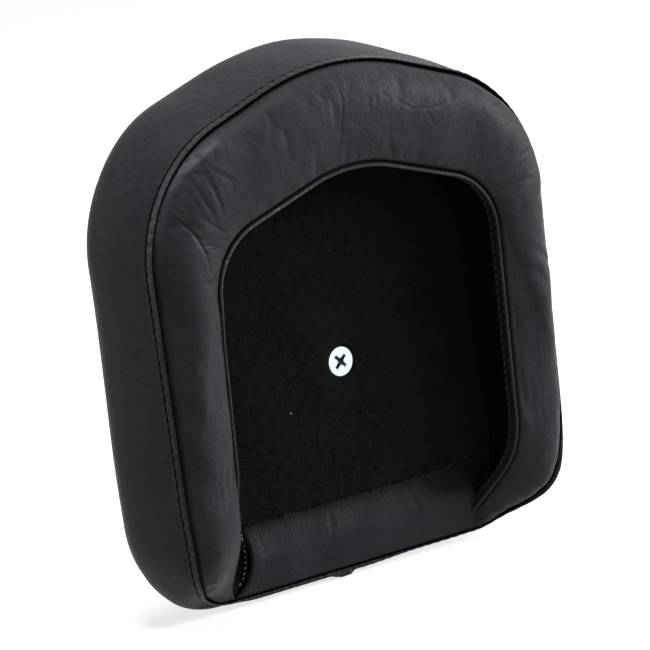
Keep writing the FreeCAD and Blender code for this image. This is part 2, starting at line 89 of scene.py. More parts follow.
def run_of(line: Array) -> Array:
    """How far along a flat line (n, 2) each of its points lies, from 0."""
    return np.concatenate([[0.0], np.cumsum(np.hypot(*np.diff(line, axis=0).T))])


def upright(outward: Array) -> Array:
    """Flat directions (n, 2) as directions (n, 3) without depth."""
    return np.stack([outward[:, 0], np.zeros(len(outward)), outward[:, 1]], 1)


def spots(x: Array, z: Array, table: Sequence[Spot]) -> Array:
    """Bells round several points together, each given by its x, z, reach and height."""
    return sum((height * bell(np.hypot(x - cx, z - cz), reach) for cx, cz, reach, height in table), np.zeros_like(x))


def segment_distance(x: Array, z: Array, start: Point, end: Point) -> tuple[Array, Array]:
    """Distance from points to a straight stretch, and how far along it they are.

    Args:
        x: The points' x.
        z: The points' z.
        start: The stretch's first end.
        end: The stretch's other end.

    Returns:
        The distance, and the share from 0 to 1 along the stretch.
    """
    dx, dz = end[0] - start[0], end[1] - start[1]
    share = np.clip(((x - start[0]) * dx + (z - start[1]) * dz) / (dx * dx + dz * dz), 0.0, 1.0)
    return np.hypot(x - start[0] - share * dx, z - start[1] - share * dz), share


def soft_noise(x: Array, z: Array, scale: float, seed: int, waves: int = 9) -> Array:
    """A smooth seeded unevenness: the mean of plane sine waves in random directions, about -1 to 1.

    Args:
        x: First coordinate, in mm.
        z: Second coordinate, in mm.
        scale: Typical wavelength, in mm.
        seed: Picks the waves.
        waves: How many waves are added.

    Returns:
        One value a point.
    """
    rng = np.random.default_rng(seed)
    total = np.zeros_like(x)
    for _ in range(waves):
        turn = rng.uniform(0.0, math.tau)
        pace = math.tau / (scale * rng.uniform(0.6, 1.6))
        total = total + np.sin((x * math.cos(turn) + z * math.sin(turn)) * pace + rng.uniform(0.0, math.tau))
    return total / math.sqrt(waves)


# The pad's shape, as the CAD source has it, in mm

@dataclass(frozen=True)
class Corner:
    """One rounded corner of an outline."""

    x: float
    z: float
    radius: float


class Outline:
    """A closed outline of straight runs and tangent arcs, with its outward direction everywhere."""

    def __init__(self, corners: Sequence[Corner], closed: bool = True) -> None:
        """Works the outline out as a dense line.

        Args:
            corners: The corners in turn.
            closed: Whether the last corner joins the first.
        """
        points, headings = [], []
        count = len(corners)
        for i in range(count) if closed else range(1, count - 1):
            before, corner, after = corners[i - 1], corners[i], corners[(i + 1) % count]
            here = np.array([corner.x, corner.z])
            back = np.array([before.x, before.z]) - here
            ahead = np.array([after.x, after.z]) - here
            back /= np.hypot(*back)
            ahead /= np.hypot(*ahead)
            half = math.acos(float(np.clip(back @ ahead, -1.0, 1.0))) / 2.0
            bisector = (back + ahead) / np.hypot(*(back + ahead))
            centre = here + bisector * corner.radius / math.sin(half)
            first = here + back * corner.radius / math.tan(half) - centre
            last = here + ahead * corner.radius / math.tan(half) - centre
            start = math.atan2(first[1], first[0])
            sweep = (math.atan2(last[1], last[0]) - start + math.pi) % math.tau - math.pi
            turn = start + sweep * np.linspace(0.0, 1.0, ARC_POINTS)
            points.append(centre + corner.radius * np.stack([np.cos(turn), np.sin(turn)], 1))
            headings.append(turn)
        if not closed:
            points.insert(0, np.array([[corners[0].x, corners[0].z]]))
            headings.insert(0, headings[0][:1])
            points.append(np.array([[corners[-1].x, corners[-1].z]]))
            headings.append(headings[-1][-1:])
        else:
            points.append(points[0][:1])
            headings.append(headings[0][:1])
        self.heading = np.unwrap(np.concatenate(headings))
        self.line = np.vstack(points)
        self.run = run_of(self.line)
        self.length = float(self.run[-1])

    def at(self, distance: Array) -> tuple[Array, Array]:
        """Points and outward directions at distances along the line.

        Args:
            distance: How far along, in mm.

        Returns:
            Points (n, 2) and directions (n, 2).
        """
        x = np.interp(distance, self.run, self.line[:, 0])
        z = np.interp(distance, self.run, self.line[:, 1])
        turn = np.interp(distance, self.run, self.heading)
        return np.stack([x, z], 1), np.stack([np.cos(turn), np.sin(turn)], 1)


@dataclass(frozen=True)
class PadShape:
    """The driving sizes that the cover, the rim and the boards share."""

    half_width: float = 96.8
    side_taper: float = 3.9
    crown_apex_z: float = 130.4
    crown_slope: float = 19.3
    crown_radius: float = 108.0
    shoulder_radius: float = 57.0
    foot_z: float = -85.5
    foot_radius: float = 35.0
    mouth_half_width: float = 72.3
    mouth_apex_z: float = 87.7
    mouth_slope: float = 18.0
    mouth_crown_radius: float = 68.0
    mouth_shoulder_radius: float = 30.0
    mouth_bend_half_width: float = 72.8
    mouth_bend_z: float = -51.0
    mouth_bend_radius: float = 100.0
    mouth_foot_half_width: float = 61.4
    mouth_foot_z: float = -87.4
    seam_height: float = 18.1
    seam_fall: tuple[Point, ...] = (
        (-95.0, -8.0), (-90.0, -7.8), (-88.0, -7.2), (-85.7, -5.6), (-83.4, -2.5), (-81.2, 1.2), (-79.0, 4.6),
        (-74.6, 10.1), (-70.4, 12.9), (-65.2, 15.1), (-60.0, 16.4), (-55.0, 17.2), (-50.0, 17.7), (-40.0, 18.0),
        (-30.0, 18.1),
    )
    mouth_fall: tuple[Point, ...] = (
        (-92.0, -8.4), (-86.0, -8.0), (-84.0, -7.2), (-80.0, -4.2), (-75.0, 0.2), (-70.0, 4.6), (-65.0, 9.1),
        (-60.0, 13.1), (-55.0, 16.1), (-50.0, 18.2), (-45.0, 19.5), (-40.0, 20.1), (-35.0, 20.4), (-20.0, 21.0),
        (100.0, 30.0),
    )
    corner_tuck: float = 0.5
    corner_tuck_reach: float = 14.0
    side_pinch: float = 1.3
    side_pinch_reach: float = 10.0
    foot_pinch: float = 1.3
    mouth_height: float = 21.35
    mouth_rise: float = 0.031
    band_flare: float = 4.75
    band_lean: float = 0.07
    front_round_y: float = -15.5
    front_round: float = 15.0
    front_crown: float = 12.0
    board_rear_y: float = -9.0
    vinyl: float = 1.4

    def cover_corners(self) -> list[Corner]:
        """The cover outline's corners at the rear seam, clockwise from the crown."""
        wide, narrow = self.half_width + self.side_taper / 2, self.half_width - self.side_taper / 2
        shoulder = self.crown_apex_z - wide * math.tan(math.radians(self.crown_slope))
        return [
            Corner(0.0, self.crown_apex_z, self.crown_radius),
            Corner(wide, shoulder, self.shoulder_radius),
            Corner(narrow, self.foot_z, self.foot_radius),
            Corner(-narrow, self.foot_z, self.foot_radius),
            Corner(-wide, shoulder, self.shoulder_radius),
        ]

    def mouth_corners(self) -> list[Corner]:
        """The rim's inner edge from the right foot over the crown to the left foot."""
        shoulder = self.mouth_apex_z - self.mouth_half_width * math.tan(math.radians(self.mouth_slope))
        right = [
            Corner(self.mouth_foot_half_width, self.mouth_foot_z, 0.0),
            Corner(self.mouth_bend_half_width, self.mouth_bend_z, self.mouth_bend_radius),
            Corner(self.mouth_half_width, shoulder, self.mouth_shoulder_radius),
        ]
        left = [Corner(-c.x, c.z, c.radius) for c in right[::-1]]
        return right + [Corner(0.0, self.mouth_apex_z, self.mouth_crown_radius)] + left

    @staticmethod
    def fall(z: Array, table: tuple[Point, ...]) -> Array:
        """Depth read from a table of (height, depth), averaged over 4 mm so that it bends smoothly.

        Args:
            z: Heights in mm.
            table: Heights in rising order with their depths.

        Returns:
            The depth at each height.
        """
        heights, depths = np.array(table).T
        return sum(np.interp(z + shift, heights, depths) for shift in (-2.0, -1.0, 0.0, 1.0, 2.0)) / 5.0

    def seam_y(self, z: Array) -> Array:
        """Depth of the rear seam: level round the sides, falling to the board at the foot's corners."""
        return self.fall(z, self.seam_fall)

    def mouth_y(self, z: Array) -> Array:
        """Depth of the rim's inner edge: rising gently up the pad, and falling to the board at the foot."""
        return np.minimum(self.mouth_height + self.mouth_rise * z, self.fall(z, self.mouth_fall))

    def tucked(self, x: Array, z: Array) -> Array:
        """Share of the flare that the seam takes back at the foot's corners: a bell round each corner."""
        return self.corner_tuck * bell(np.hypot(np.abs(x) - 80.0, z + 83.0), self.corner_tuck_reach)

    def pinched(self, x: Array, z: Array) -> Array:
        """How far the thread pulls the seam in: a bell at each side's low end, and an even pull along the foot."""
        side = self.side_pinch * bell(np.hypot(np.abs(x) - 94.0, z + 57.0), self.side_pinch_reach)
        foot = self.foot_pinch * smooth_step((72.0 - np.abs(x)) / 14.0) * smooth_step((-70.0 - z) / 10.0)
        return side + foot

    def flare(self, y: Array) -> Array:
        """How far the band stands outside the seam: a quarter sine from the seam to the front round."""
        share = (self.seam_height - y) / (self.seam_height - self.front_round_y)
        return self.band_flare * np.sin(np.pi / 2 * np.clip(share, 0.0, 1.0))

    def lean(self, y: Array) -> Array:
        """How far the cushion stands up at a depth."""
        return self.band_lean * (self.seam_height - y)

    def stood(self, plane: Array, y: Array) -> Array:
        """Points (..., 3) at depths over places (..., 2) in the outline's plane, moved up by the lean."""
        return np.stack([plane[..., 0], y, plane[..., 1] + self.lean(y)], -1)


SHAPE = PadShape()
COVER = Outline(SHAPE.cover_corners())
MOUTH = Outline(SHAPE.mouth_corners(), closed=False)


def seam_line(distance: Array) -> tuple[Array, Array, Array]:
    """The rear seam's points, outward directions and depths at distances along the cover outline.

    The flare hangs on the depth and the depth on the flared height, so each round moves halfway to the next flare.

    Args:
        distance: How far along the outline, in mm.

    Returns:
        Points (n, 2) already moved out by the flare, directions (n, 2) and depths (n).
    """
    points, outward = COVER.at(distance)
    y = np.full(len(points), SHAPE.seam_height)
    stand = np.zeros(len(points))
    for _ in range(SEAM_ROUNDS):
        x, z = points[:, 0], points[:, 1]
        stand = 0.5 * stand + 0.5 * (SHAPE.flare(y) * (1.0 - SHAPE.tucked(x, z)) - SHAPE.pinched(x, z))
        y = SHAPE.seam_y(points[:, 1] + outward[:, 1] * stand)
    return points + outward * stand[:, None], outward, y


# Meshes

def new_object(name: str, verts: Array, faces: Sequence[Sequence[int]]) -> bpy.types.Object:
    """Makes a smoothly shaded object from vertices in mm, at the origin.

    Args:
        name: The piece's name.
        verts: Points (n, 3) in mm.
        faces: Vertex indices of each face.

    Returns:
        The linked object.
    """
    mesh = bpy.data.meshes.new(name)
    mesh.from_pydata((verts * MM).tolist(), [], [list(map(int, f)) for f in faces])
    mesh.validate()
    mesh.polygons.foreach_set("use_smooth", np.ones(len(mesh.polygons), bool))
    mesh.update()
    piece = bpy.data.objects.new(name, mesh)
    bpy.context.scene.collection.objects.link(piece)
    return piece


def grid_faces(rows: int, cols: int, wrap_rows: bool, wrap_cols: bool, flip: bool = False) -> Array:
    """Quads of a grid of vertices numbered row by row.

    Args:
        rows: Number of rows.
        cols: Number of columns.
        wrap_rows: Whether the last row joins the first.
        wrap_cols: Whether the last column joins the first.
        flip: Whether the faces turn the other way.

    Returns:
        Vertex indices (n, 4).
    """
    r = np.arange(rows if wrap_rows else rows - 1)
    c = np.arange(cols if wrap_cols else cols - 1)
    rr, cc = np.meshgrid(r, c, indexing="ij")
    r2, c2 = (rr + 1) % rows, (cc + 1) % cols
    quads = np.stack([rr * cols + cc, rr * cols + c2, r2 * cols + c2, r2 * cols + cc], -1).reshape(-1, 4)
    return quads[:, ::-1] if flip else quads


def outwards(piece: bpy.types.Object) -> bpy.types.Object:
    """Turns a closed mesh's faces outwards and returns the piece.

    Args:
        piece: The piece.

    Returns:
        The same piece.
    """
    work = bmesh.new()
    work.from_mesh(piece.data)
    bmesh.ops.recalc_face_normals(work, faces=work.faces)
    work.to_mesh(piece.data)
    work.free()
    return piece


def tube_grid(name: str, points: Array, caps: bool) -> bpy.types.Object:
    """A closed skin from a grid (rows, profile, 3) whose profile closes on itself.

    Args:
        name: The piece's name.
        points: The grid in mm.
        caps: Whether the first and last rows are closed with a face; otherwise the rows wrap round.

    Returns:
        The object.
    """
    rows, cols = points.shape[:2]
    faces = list(grid_faces(rows, cols, not caps, True))
    if caps:
        faces.append(np.arange(cols)[::-1])
        faces.append(np.arange(cols) + (rows - 1) * cols)
    return outwards(new_object(name, points.reshape(-1, 3), faces))


def sheet_block(name: str, top: Array, under: Array) -> bpy.types.Object:
    """A closed sheet between two grids of the same size, joined round their edges.

    Args:
        name: The piece's name.
        top: The upper grid (rows, columns, 3) in mm.
        under: The lower grid.

    Returns:
        The object.
    """
    rows, cols = top.shape[:2]
    verts = np.concatenate([top.reshape(-1, 3), under.reshape(-1, 3)])
    upper = grid_faces(rows, cols, False, False)
    lower = grid_faces(rows, cols, False, False, True) + rows * cols
    ring = np.concatenate([
        np.arange(cols), np.arange(1, rows) * cols + cols - 1,
        (rows - 1) * cols + np.arange(cols - 2, -1, -1), np.arange(rows - 2, 0, -1) * cols,
    ])
    ahead = np.roll(ring, -1)
    sides = np.stack([ring, ahead, ahead + rows * cols, ring + rows * cols], 1)
    return outwards(new_object(name, verts, list(upper) + list(lower) + list(sides)))


def set_attribute(piece: bpy.types.Object, name: str, values: Array) -> None:
    """Stores one number a vertex under a name that a material reads."""
    layer = piece.data.attributes.new(name, "FLOAT", "POINT")
    layer.data.foreach_set("value", values.astype(np.float32).ravel())


# Shader maths

class Channel:
    """A number socket that takes part in Python sums."""

    def __init__(self, shop: "Workshop", socket: Any) -> None:
        """Keeps the socket and the tree it is in."""
        self.shop = shop
        self.socket = socket

    def _join(self, operation: str, other: Any, swap: bool = False) -> "Channel":
        """Adds one Math node for an operation on this socket and another value."""
        pair = (other, self) if swap else (self, other)
        return self.shop.node("ShaderNodeMath", {"operation": operation}, {0: pair[0], 1: pair[1]})

    def __add__(self, other: Any) -> "Channel":
        """Sum."""
        return self._join("ADD", other)

    __radd__ = __add__

    def __sub__(self, other: Any) -> "Channel":
        """Difference."""
        return self._join("SUBTRACT", other)

    def __rsub__(self, other: Any) -> "Channel":
        """Difference from another value."""
        return self._join("SUBTRACT", other, True)

    def __mul__(self, other: Any) -> "Channel":
        """Product."""
        return self._join("MULTIPLY", other)

    __rmul__ = __mul__


class Workshop:
    """One node tree, a material's or the world's."""

    def __init__(self, owner: Any, output: str = "ShaderNodeOutputMaterial") -> None:
        """Empties the owner's tree but for its output.

        Args:
            owner: The material or world.
            output: The output node's type.
        """
        owner.use_nodes = True
        self.owner = owner
        self.tree = owner.node_tree
        self.tree.nodes.clear()
        self.output = self.tree.nodes.new(output)

    @classmethod
    def material(cls, name: str) -> "Workshop":
        """The workshop of a new material."""
        return cls(bpy.data.materials.new(name))

    def feed(self, socket: Any, value: Any) -> None:
        """Links a value to a socket, or sets it; a colour gets full opacity.

        Args:
            socket: The input socket.
            value: A channel, number, vector or colour.
        """
        if isinstance(value, Channel):
            self.tree.links.new(value.socket, socket)
        else:
            socket.default_value = (*value, 1.0) if socket.type == "RGBA" else value

    def node(self, kind: str, settings: dict[str, Any], inputs: dict[Any, Any], output: Any = 0) -> Channel:
        """Adds any node.

        Args:
            kind: The node's type.
            settings: Its properties; "stops" lists a ramp's (place, grey).
            inputs: Values or channels by socket name or number.
            output: The socket wanted back.

        Returns:
            The chosen output.
        """
        node = self.tree.nodes.new(kind)
        for key, value in settings.items():
            if key == "stops":
                for element, (place, grey) in zip(node.color_ramp.elements, value):
                    element.position = place
                    element.color = (grey, grey, grey, 1.0)
            else:
                setattr(node, key, value)
        for key, value in inputs.items():
            self.feed(node.inputs[key], value)
        return Channel(self, node.outputs[output])

    def places(self) -> Channel:
        """Object coordinates."""
        return self.node("ShaderNodeTexCoord", {}, {}, "Object")

    def noise(self, scale: float, detail: float = 3.0, vector: Optional[Channel] = None) -> Channel:
        """A noise value in object space."""
        inputs = {"Vector": vector or self.places(), "Scale": scale, "Detail": detail}
        return self.node("ShaderNodeTexNoise", {}, inputs, 0)

    def cells(self, scale: float, feature: str = "F1", vector: Optional[Channel] = None) -> Channel:
        """Distance to the nearest cell's seed, for pebbles and pores, or to the cells' borders."""
        inputs = {"Vector": vector or self.places(), "Scale": scale}
        return self.node("ShaderNodeTexVoronoi", {"feature": feature}, inputs)

    def attribute(self, name: str) -> Channel:
        """A number stored on the vertices."""
        return self.node("ShaderNodeAttribute", {"attribute_name": name}, {}, "Fac")

    def larger(self, first: Channel, second: Channel) -> Channel:
        """The larger of two values."""
        return self.node("ShaderNodeMath", {"operation": "MAXIMUM"}, {0: first, 1: second})

    def axis(self, name: str) -> Channel:
        """One of the object coordinates, in metres."""
        return self.node("ShaderNodeSeparateXYZ", {}, {0: self.places()}, name)

    def wandering(self, scale: float, amount: float) -> Channel:
        """Object coordinates pushed about by a noise's three channels, so that lines read from them wander."""
        push = self.node("ShaderNodeTexNoise", {}, {"Vector": self.places(), "Scale": scale, "Detail": 3.0}, 1)
        inputs = {0: push, 1: (amount, amount, amount), 2: self.places()}
        return self.node("ShaderNodeVectorMath", {"operation": "MULTIPLY_ADD"}, inputs)

    def crackle(self, scale: float, width: float, vector: Channel) -> Channel:
        """Fine fold lines: 0 on the borders between scattered cells and 1 away from them."""
        return self.ramp(self.cells(scale, "DISTANCE_TO_EDGE", vector), [(0.0, 0.0), (width, 1.0)])

    def ramp(self, value: Channel, stops: Sequence[Point]) -> Channel:
        """A value run through two grey stops."""
        return self.node("ShaderNodeValToRGB", {"stops": stops}, {0: value})

    def blend(self, share: Any, first: Any, second: Any) -> Channel:
        """A colour between two, by a share."""
        return self.node("ShaderNodeMix", {"data_type": "RGBA"}, {0: share, 6: first, 7: second}, 2)

    def cloudy(self, value: Channel, dull: float, colour: Triple) -> Channel:
        """A colour that darkens to a share of itself where a value is low."""
        return self.blend(value, tuple(dull * c for c in colour), colour)

    def bump(self, height: Channel, strength: float, distance: float) -> Channel:
        """A normal from a height."""
        return self.node("ShaderNodeBump", {}, {"Height": height, "Strength": strength, "Distance": distance})

    def principled(self, **inputs: Any) -> Channel:
        """A shader with sockets given by name, with underscores for spaces."""
        named = {key.replace("_", " "): value for key, value in inputs.items()}
        return self.node("ShaderNodeBsdfPrincipled", {}, named)

    def mixed(self, share: Channel, first: Channel, second: Channel) -> Channel:
        """A shader between two, by a share."""
        return self.node("ShaderNodeMixShader", {}, {0: share, 1: first, 2: second})

    def finish(self, shader: Channel) -> Any:
        """Shows a shader at the output and returns the material or world."""
        self.tree.links.new(shader.socket, self.output.inputs[0])
        return self.owner


@dataclass(frozen=True)
class VinylFinish:
    """Satin black upholstery vinyl with a fine leather grain."""

    name: str = "black_vinyl"
    colour: Triple = (0.0312, 0.0298, 0.0360)
    worn: Triple = (0.0445, 0.0427, 0.0505)
    # Painted highlight colour: paler vinyl where the light catches the roll beside the seam and the lap's top.
    painted_highlight: Triple = (0.170, 0.160, 0.190)
    painted_shade_colour: Triple = (0.0012, 0.0012, 0.0013)
    roughness: float = 0.44
    specular: float = 0.05
    grain_per_m: float = 1000.0
    grain_mm: float = 0.10
    pore_mm: float = 0.10
    fold_mm: float = 0.13
    tick_mm: float = 0.34
    folds_per_m: float = 95.0
    ticks_per_m: float = 300.0

    def build(self) -> bpy.types.Material:
        """Grain, pores and folds; the attributes 'creased', 'rubbed' and 'crevice' add folds, a painted highlight and
        painted shade.

        Folds are cell borders in two sizes, as strong as 'creased' and stronger in patches. Short ticks join them
        where 'creased' is above 1.6. Heights are in mm.
        """
        shop = Workshop.material(self.name)
        creased = shop.attribute("creased")
        pebbles = shop.cells(self.grain_per_m)
        pores = shop.noise(self.grain_per_m * 0.45, 4.0)
        clouds = shop.noise(34.0)
        fine = shop.noise(380.0)
        folds = shop.crackle(self.folds_per_m, 0.07, shop.wandering(60.0, 0.012))
        finer = shop.crackle(self.folds_per_m * 2.3, 0.09, shop.wandering(150.0, 0.005))
        pressed = (folds * 0.65 + finer * 0.35) * creased * shop.ramp(clouds, [(0.40, 0.15), (0.60, 1.0)])
        lapped = shop.ramp(creased * 0.25, [(0.4, 0.0), (0.75, 1.0)])
        ticks = shop.crackle(self.ticks_per_m, 0.28, shop.wandering(200.0, 0.004)) * lapped
        height = pebbles * self.grain_mm + pores * self.pore_mm + pressed * self.fold_mm + ticks * self.tick_mm
        share = shop.ramp(clouds * 0.5 + fine * 0.5, [(0.38, 0.0), (0.62, 1.0)])
        # Painted highlight: where this attribute is high, the vinyl turns to the pale highlight colour in patches.
        patchy_highlight = shop.attribute("painted_highlight") * shop.ramp(fine * 0.6 + pores * 0.4, [(0.36, 0.45), (0.60, 1.0)])
        vinyl = shop.principled(
            Base_Color=shop.blend(patchy_highlight, shop.blend(share, self.colour, self.worn), self.painted_highlight),
            Roughness=clouds * 0.14 + pebbles * 0.08 + (self.roughness - 0.11),
            Specular_IOR_Level=self.specular,
            Normal=shop.bump(height, 0.9, MM),
        )
        # Painted shade: where 'crevice' is 1 the vinyl turns to an unlit black without gloss, for grooves, gaps and
        # hollows in shadow.
        unlit = shop.principled(Base_Color=self.painted_shade_colour, Roughness=1.0, Specular_IOR_Level=0.0)
        return shop.finish(shop.mixed(shop.attribute("painted_shade"), vinyl, unlit))


@dataclass(frozen=True)
class HemFinish:
    """The cut and folded edge round the mouth: its nose paler, partly as a painted highlight on the rounded edge and
    partly as flecks of its backing.
    """

    name: str = "folded_hem"
    vinyl: Triple = (0.013, 0.012, 0.014)
    # Pale tones of the nose: painted highlight, with flecks of backing.
    edge: Triple = (0.03, 0.03, 0.031)
    paler: Triple = (0.12, 0.12, 0.122)
    fleck: Triple = (0.50, 0.50, 0.50)

    def build(self) -> bpy.types.Material:
        """Dark vinyl that turns paler where the attribute 'nose' is high: a painted highlight with small bright flecks
        of backing.
        """
        shop = Workshop.material(self.name)
        flecks = shop.ramp(shop.noise(900.0, 2.0), [(0.60, 0.0), (0.72, 1.0)])
        pale = shop.blend(shop.noise(160.0), self.edge, self.paler)
        flecked = shop.blend(flecks * 0.8, pale, self.fleck)
        return shop.finish(shop.principled(
            Base_Color=shop.blend(shop.attribute("nose_highlight_and_backing"), self.vinyl, flecked),
            Roughness=0.55,
            Specular_IOR_Level=0.12,
            Normal=shop.bump(shop.cells(1500.0), 0.4, 0.06 * MM),
        ))


@dataclass(frozen=True)
class ClothFinish:
    """Plain woven cloth."""

    name: str
    colour: Triple
    weave_scale: float = 70.0

    def build(self) -> bpy.types.Material:
        """Warp and weft as two crossed waves over object space."""
        shop = Workshop.material(self.name)
        inputs = {"Vector": shop.places(), "Scale": self.weave_scale}
        warp, weft = (shop.node("ShaderNodeTexWave", {"bands_direction": way}, inputs, 1) for way in "XZ")
        return shop.finish(shop.principled(
            Base_Color=shop.cloudy(shop.noise(300.0), 0.6, self.colour),
            Roughness=0.9,
            Specular_IOR_Level=0.15,
            Normal=shop.bump(warp * weft, 0.5, 0.2 * MM),
        ))


@dataclass(frozen=True)
class PileFinish:
    """Near black carpet pile."""

    name: str = "carpet_pile"
    colour: Triple = (0.0012, 0.0011, 0.0012)
    tip: Triple = (0.0048, 0.0043, 0.0044)

    def build(self) -> bpy.types.Material:
        """Mottled tufts: dark roots and slightly paler tips."""
        shop = Workshop.material(self.name)
        tufts = shop.noise(1100.0)
        share = shop.ramp(tufts * 0.7 + shop.noise(120.0) * 0.3, [(0.42, 0.0), (0.68, 1.0)])
        return shop.finish(shop.principled(
            Base_Color=shop.blend(share, self.colour, self.tip),
            Roughness=0.95,
            Specular_IOR_Level=0.1,
            Normal=shop.bump(tufts, 0.8, 0.6 * MM),
        ))


@dataclass(frozen=True)
class ThreadFinish:
    """Sewing thread."""

    name: str
    colour: Triple

    def build(self) -> bpy.types.Material:
        """Fine noise between two tones, in place of the twist."""
        shop = Workshop.material(self.name)
        twist = shop.noise(2600.0, 1.0)
        return shop.finish(shop.principled(
            Base_Color=shop.cloudy(twist, 0.6, self.colour),
            Roughness=0.6,
            Normal=shop.bump(twist, 0.4, 0.08 * MM),
        ))


@dataclass(frozen=True)
class ZincFinish:
    """Bright zinc plated steel."""

    name: str = "bright_zinc"
    colour: Triple = (0.72, 0.73, 0.75)

    def build(self) -> bpy.types.Material:
        """Slightly cloudy plating with fine marks."""
        shop = Workshop.material(self.name)
        clouds = shop.noise(500.0)
        return shop.finish(shop.principled(
            Base_Color=shop.cloudy(clouds, 0.8, self.colour),
            Metallic=1.0,
            Roughness=clouds * 0.15 + 0.22,
            Normal=shop.bump(shop.noise(2600.0, 2.0), 0.2, 0.04 * MM),
        ))


@dataclass(frozen=True)
class ScrewFinish:
    """Zinc plated screw with bluish painted shade in its cross recess."""

    name: str = "zinc_screw"
    colour: Triple = (0.55, 0.62, 0.62)
    recess_shade: Triple = (0.045, 0.085, 0.115)
    face_mm: float = 0.2
    recess_reach_mm: float = 3.9
    well_mm: float = 1.7

    def build(self) -> bpy.types.Material:
        """Cloudy plating; painted shade by a mask that is 1 under the head's face and inside the recess's reach."""
        shop = Workshop.material(self.name)
        x, y, z = map(shop.axis, "XYZ")
        reach = (x * x + z * z) * 1e6
        under = shop.ramp(y * -1000.0 - self.face_mm, [(0.08, 0.0), (0.55, 1.0)])
        inside = shop.ramp(reach * (1.0 / self.recess_reach_mm ** 2), [(0.92, 1.0), (1.0, 0.0)])
        well = shop.ramp(reach * (0.5 / self.well_mm ** 2), [(0.36, 1.0), (0.5, 0.0)])
        clouds = shop.noise(420.0)
        plated = shop.cloudy(clouds, 0.84, self.colour)
        return shop.finish(shop.principled(
            Base_Color=shop.blend(shop.larger(under * inside, well), plated, self.recess_shade),
            Metallic=1.0,
            Roughness=clouds * 0.15 + 0.26,
            Normal=shop.bump(shop.noise(2200.0, 2.0), 0.2, 0.04 * MM),
        ))


@dataclass(frozen=True)
class BoardFinish:
    """Plywood or hardboard."""

    name: str
    pale: Triple
    dark: Triple
    fibre: Triple = (6.0, 900.0, 60.0)

    def build(self) -> bpy.types.Material:
        """Noise stretched along the fibres, between two tones."""
        shop = Workshop.material(self.name)
        stretched = shop.node("ShaderNodeMapping", {}, {"Vector": shop.places(), "Scale": self.fibre})
        fibres = shop.noise(1.0, 4.0, stretched)
        return shop.finish(shop.principled(
            Base_Color=shop.blend(shop.ramp(fibres, [(0.3, 0.0), (0.7, 1.0)]), self.dark, self.pale),
            Roughness=0.75,
            Normal=shop.bump(fibres, 0.3, 0.2 * MM),
        ))


class Finish(Enum):
    """The finishes this pad is made in."""

    VINYL = VinylFinish()
    FLAP_VINYL = VinylFinish(name="flap_vinyl", colour=(0.0250, 0.0210, 0.0280), worn=(0.0360, 0.0310, 0.0395))
    HEM = HemFinish()
    LINING = ClothFinish("pocket_cloth", (0.0045, 0.0045, 0.0048))
    PILE = PileFinish()
    BLACK_THREAD = ThreadFinish("black_thread", (0.016, 0.016, 0.017))
    WHITE_THREAD = ThreadFinish("white_thread", (0.75, 0.75, 0.74))
    ZINC = ZincFinish()
    SCREW = ScrewFinish()
    PALE_PILE = PileFinish("pale_pile", (0.040, 0.038, 0.038), (0.16, 0.15, 0.15))
    PLYWOOD = BoardFinish("birch_plywood", (0.50, 0.36, 0.22), (0.34, 0.22, 0.12))
    HARDBOARD = BoardFinish("hardboard", (0.16, 0.10, 0.055), (0.10, 0.06, 0.032), (200.0, 200.0, 200.0))


class Palette:
    """Builds each finish once."""

    def __init__(self) -> None:
        """Starts with none built."""
        self.built: dict[Finish, bpy.types.Material] = {}

    def get(self, finish: Finish) -> bpy.types.Material:
        """The material of a finish."""
        if finish not in self.built:
            self.built[finish] = finish.value.build()
        return self.built[finish]

    def present(self, piece: bpy.types.Object, finish: Finish, slot: str, *nodes: str) -> bpy.types.Object:
        """Gives a piece its finish and the part's body to ride on, and hides the CAD nodes that it stands for.

        Args:
            piece: The piece.
            finish: Its finish.
            slot: Not used.
            *nodes: The CAD nodes that it replaces.

        Returns:
            The piece.
        """
        piece.data.materials.append(self.get(finish))
        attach(piece, "root")
        if nodes:
            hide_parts(*nodes)
        LOG.info("%s: %d faces", piece.name, len(piece.data.polygons))
        return piece


# Padding

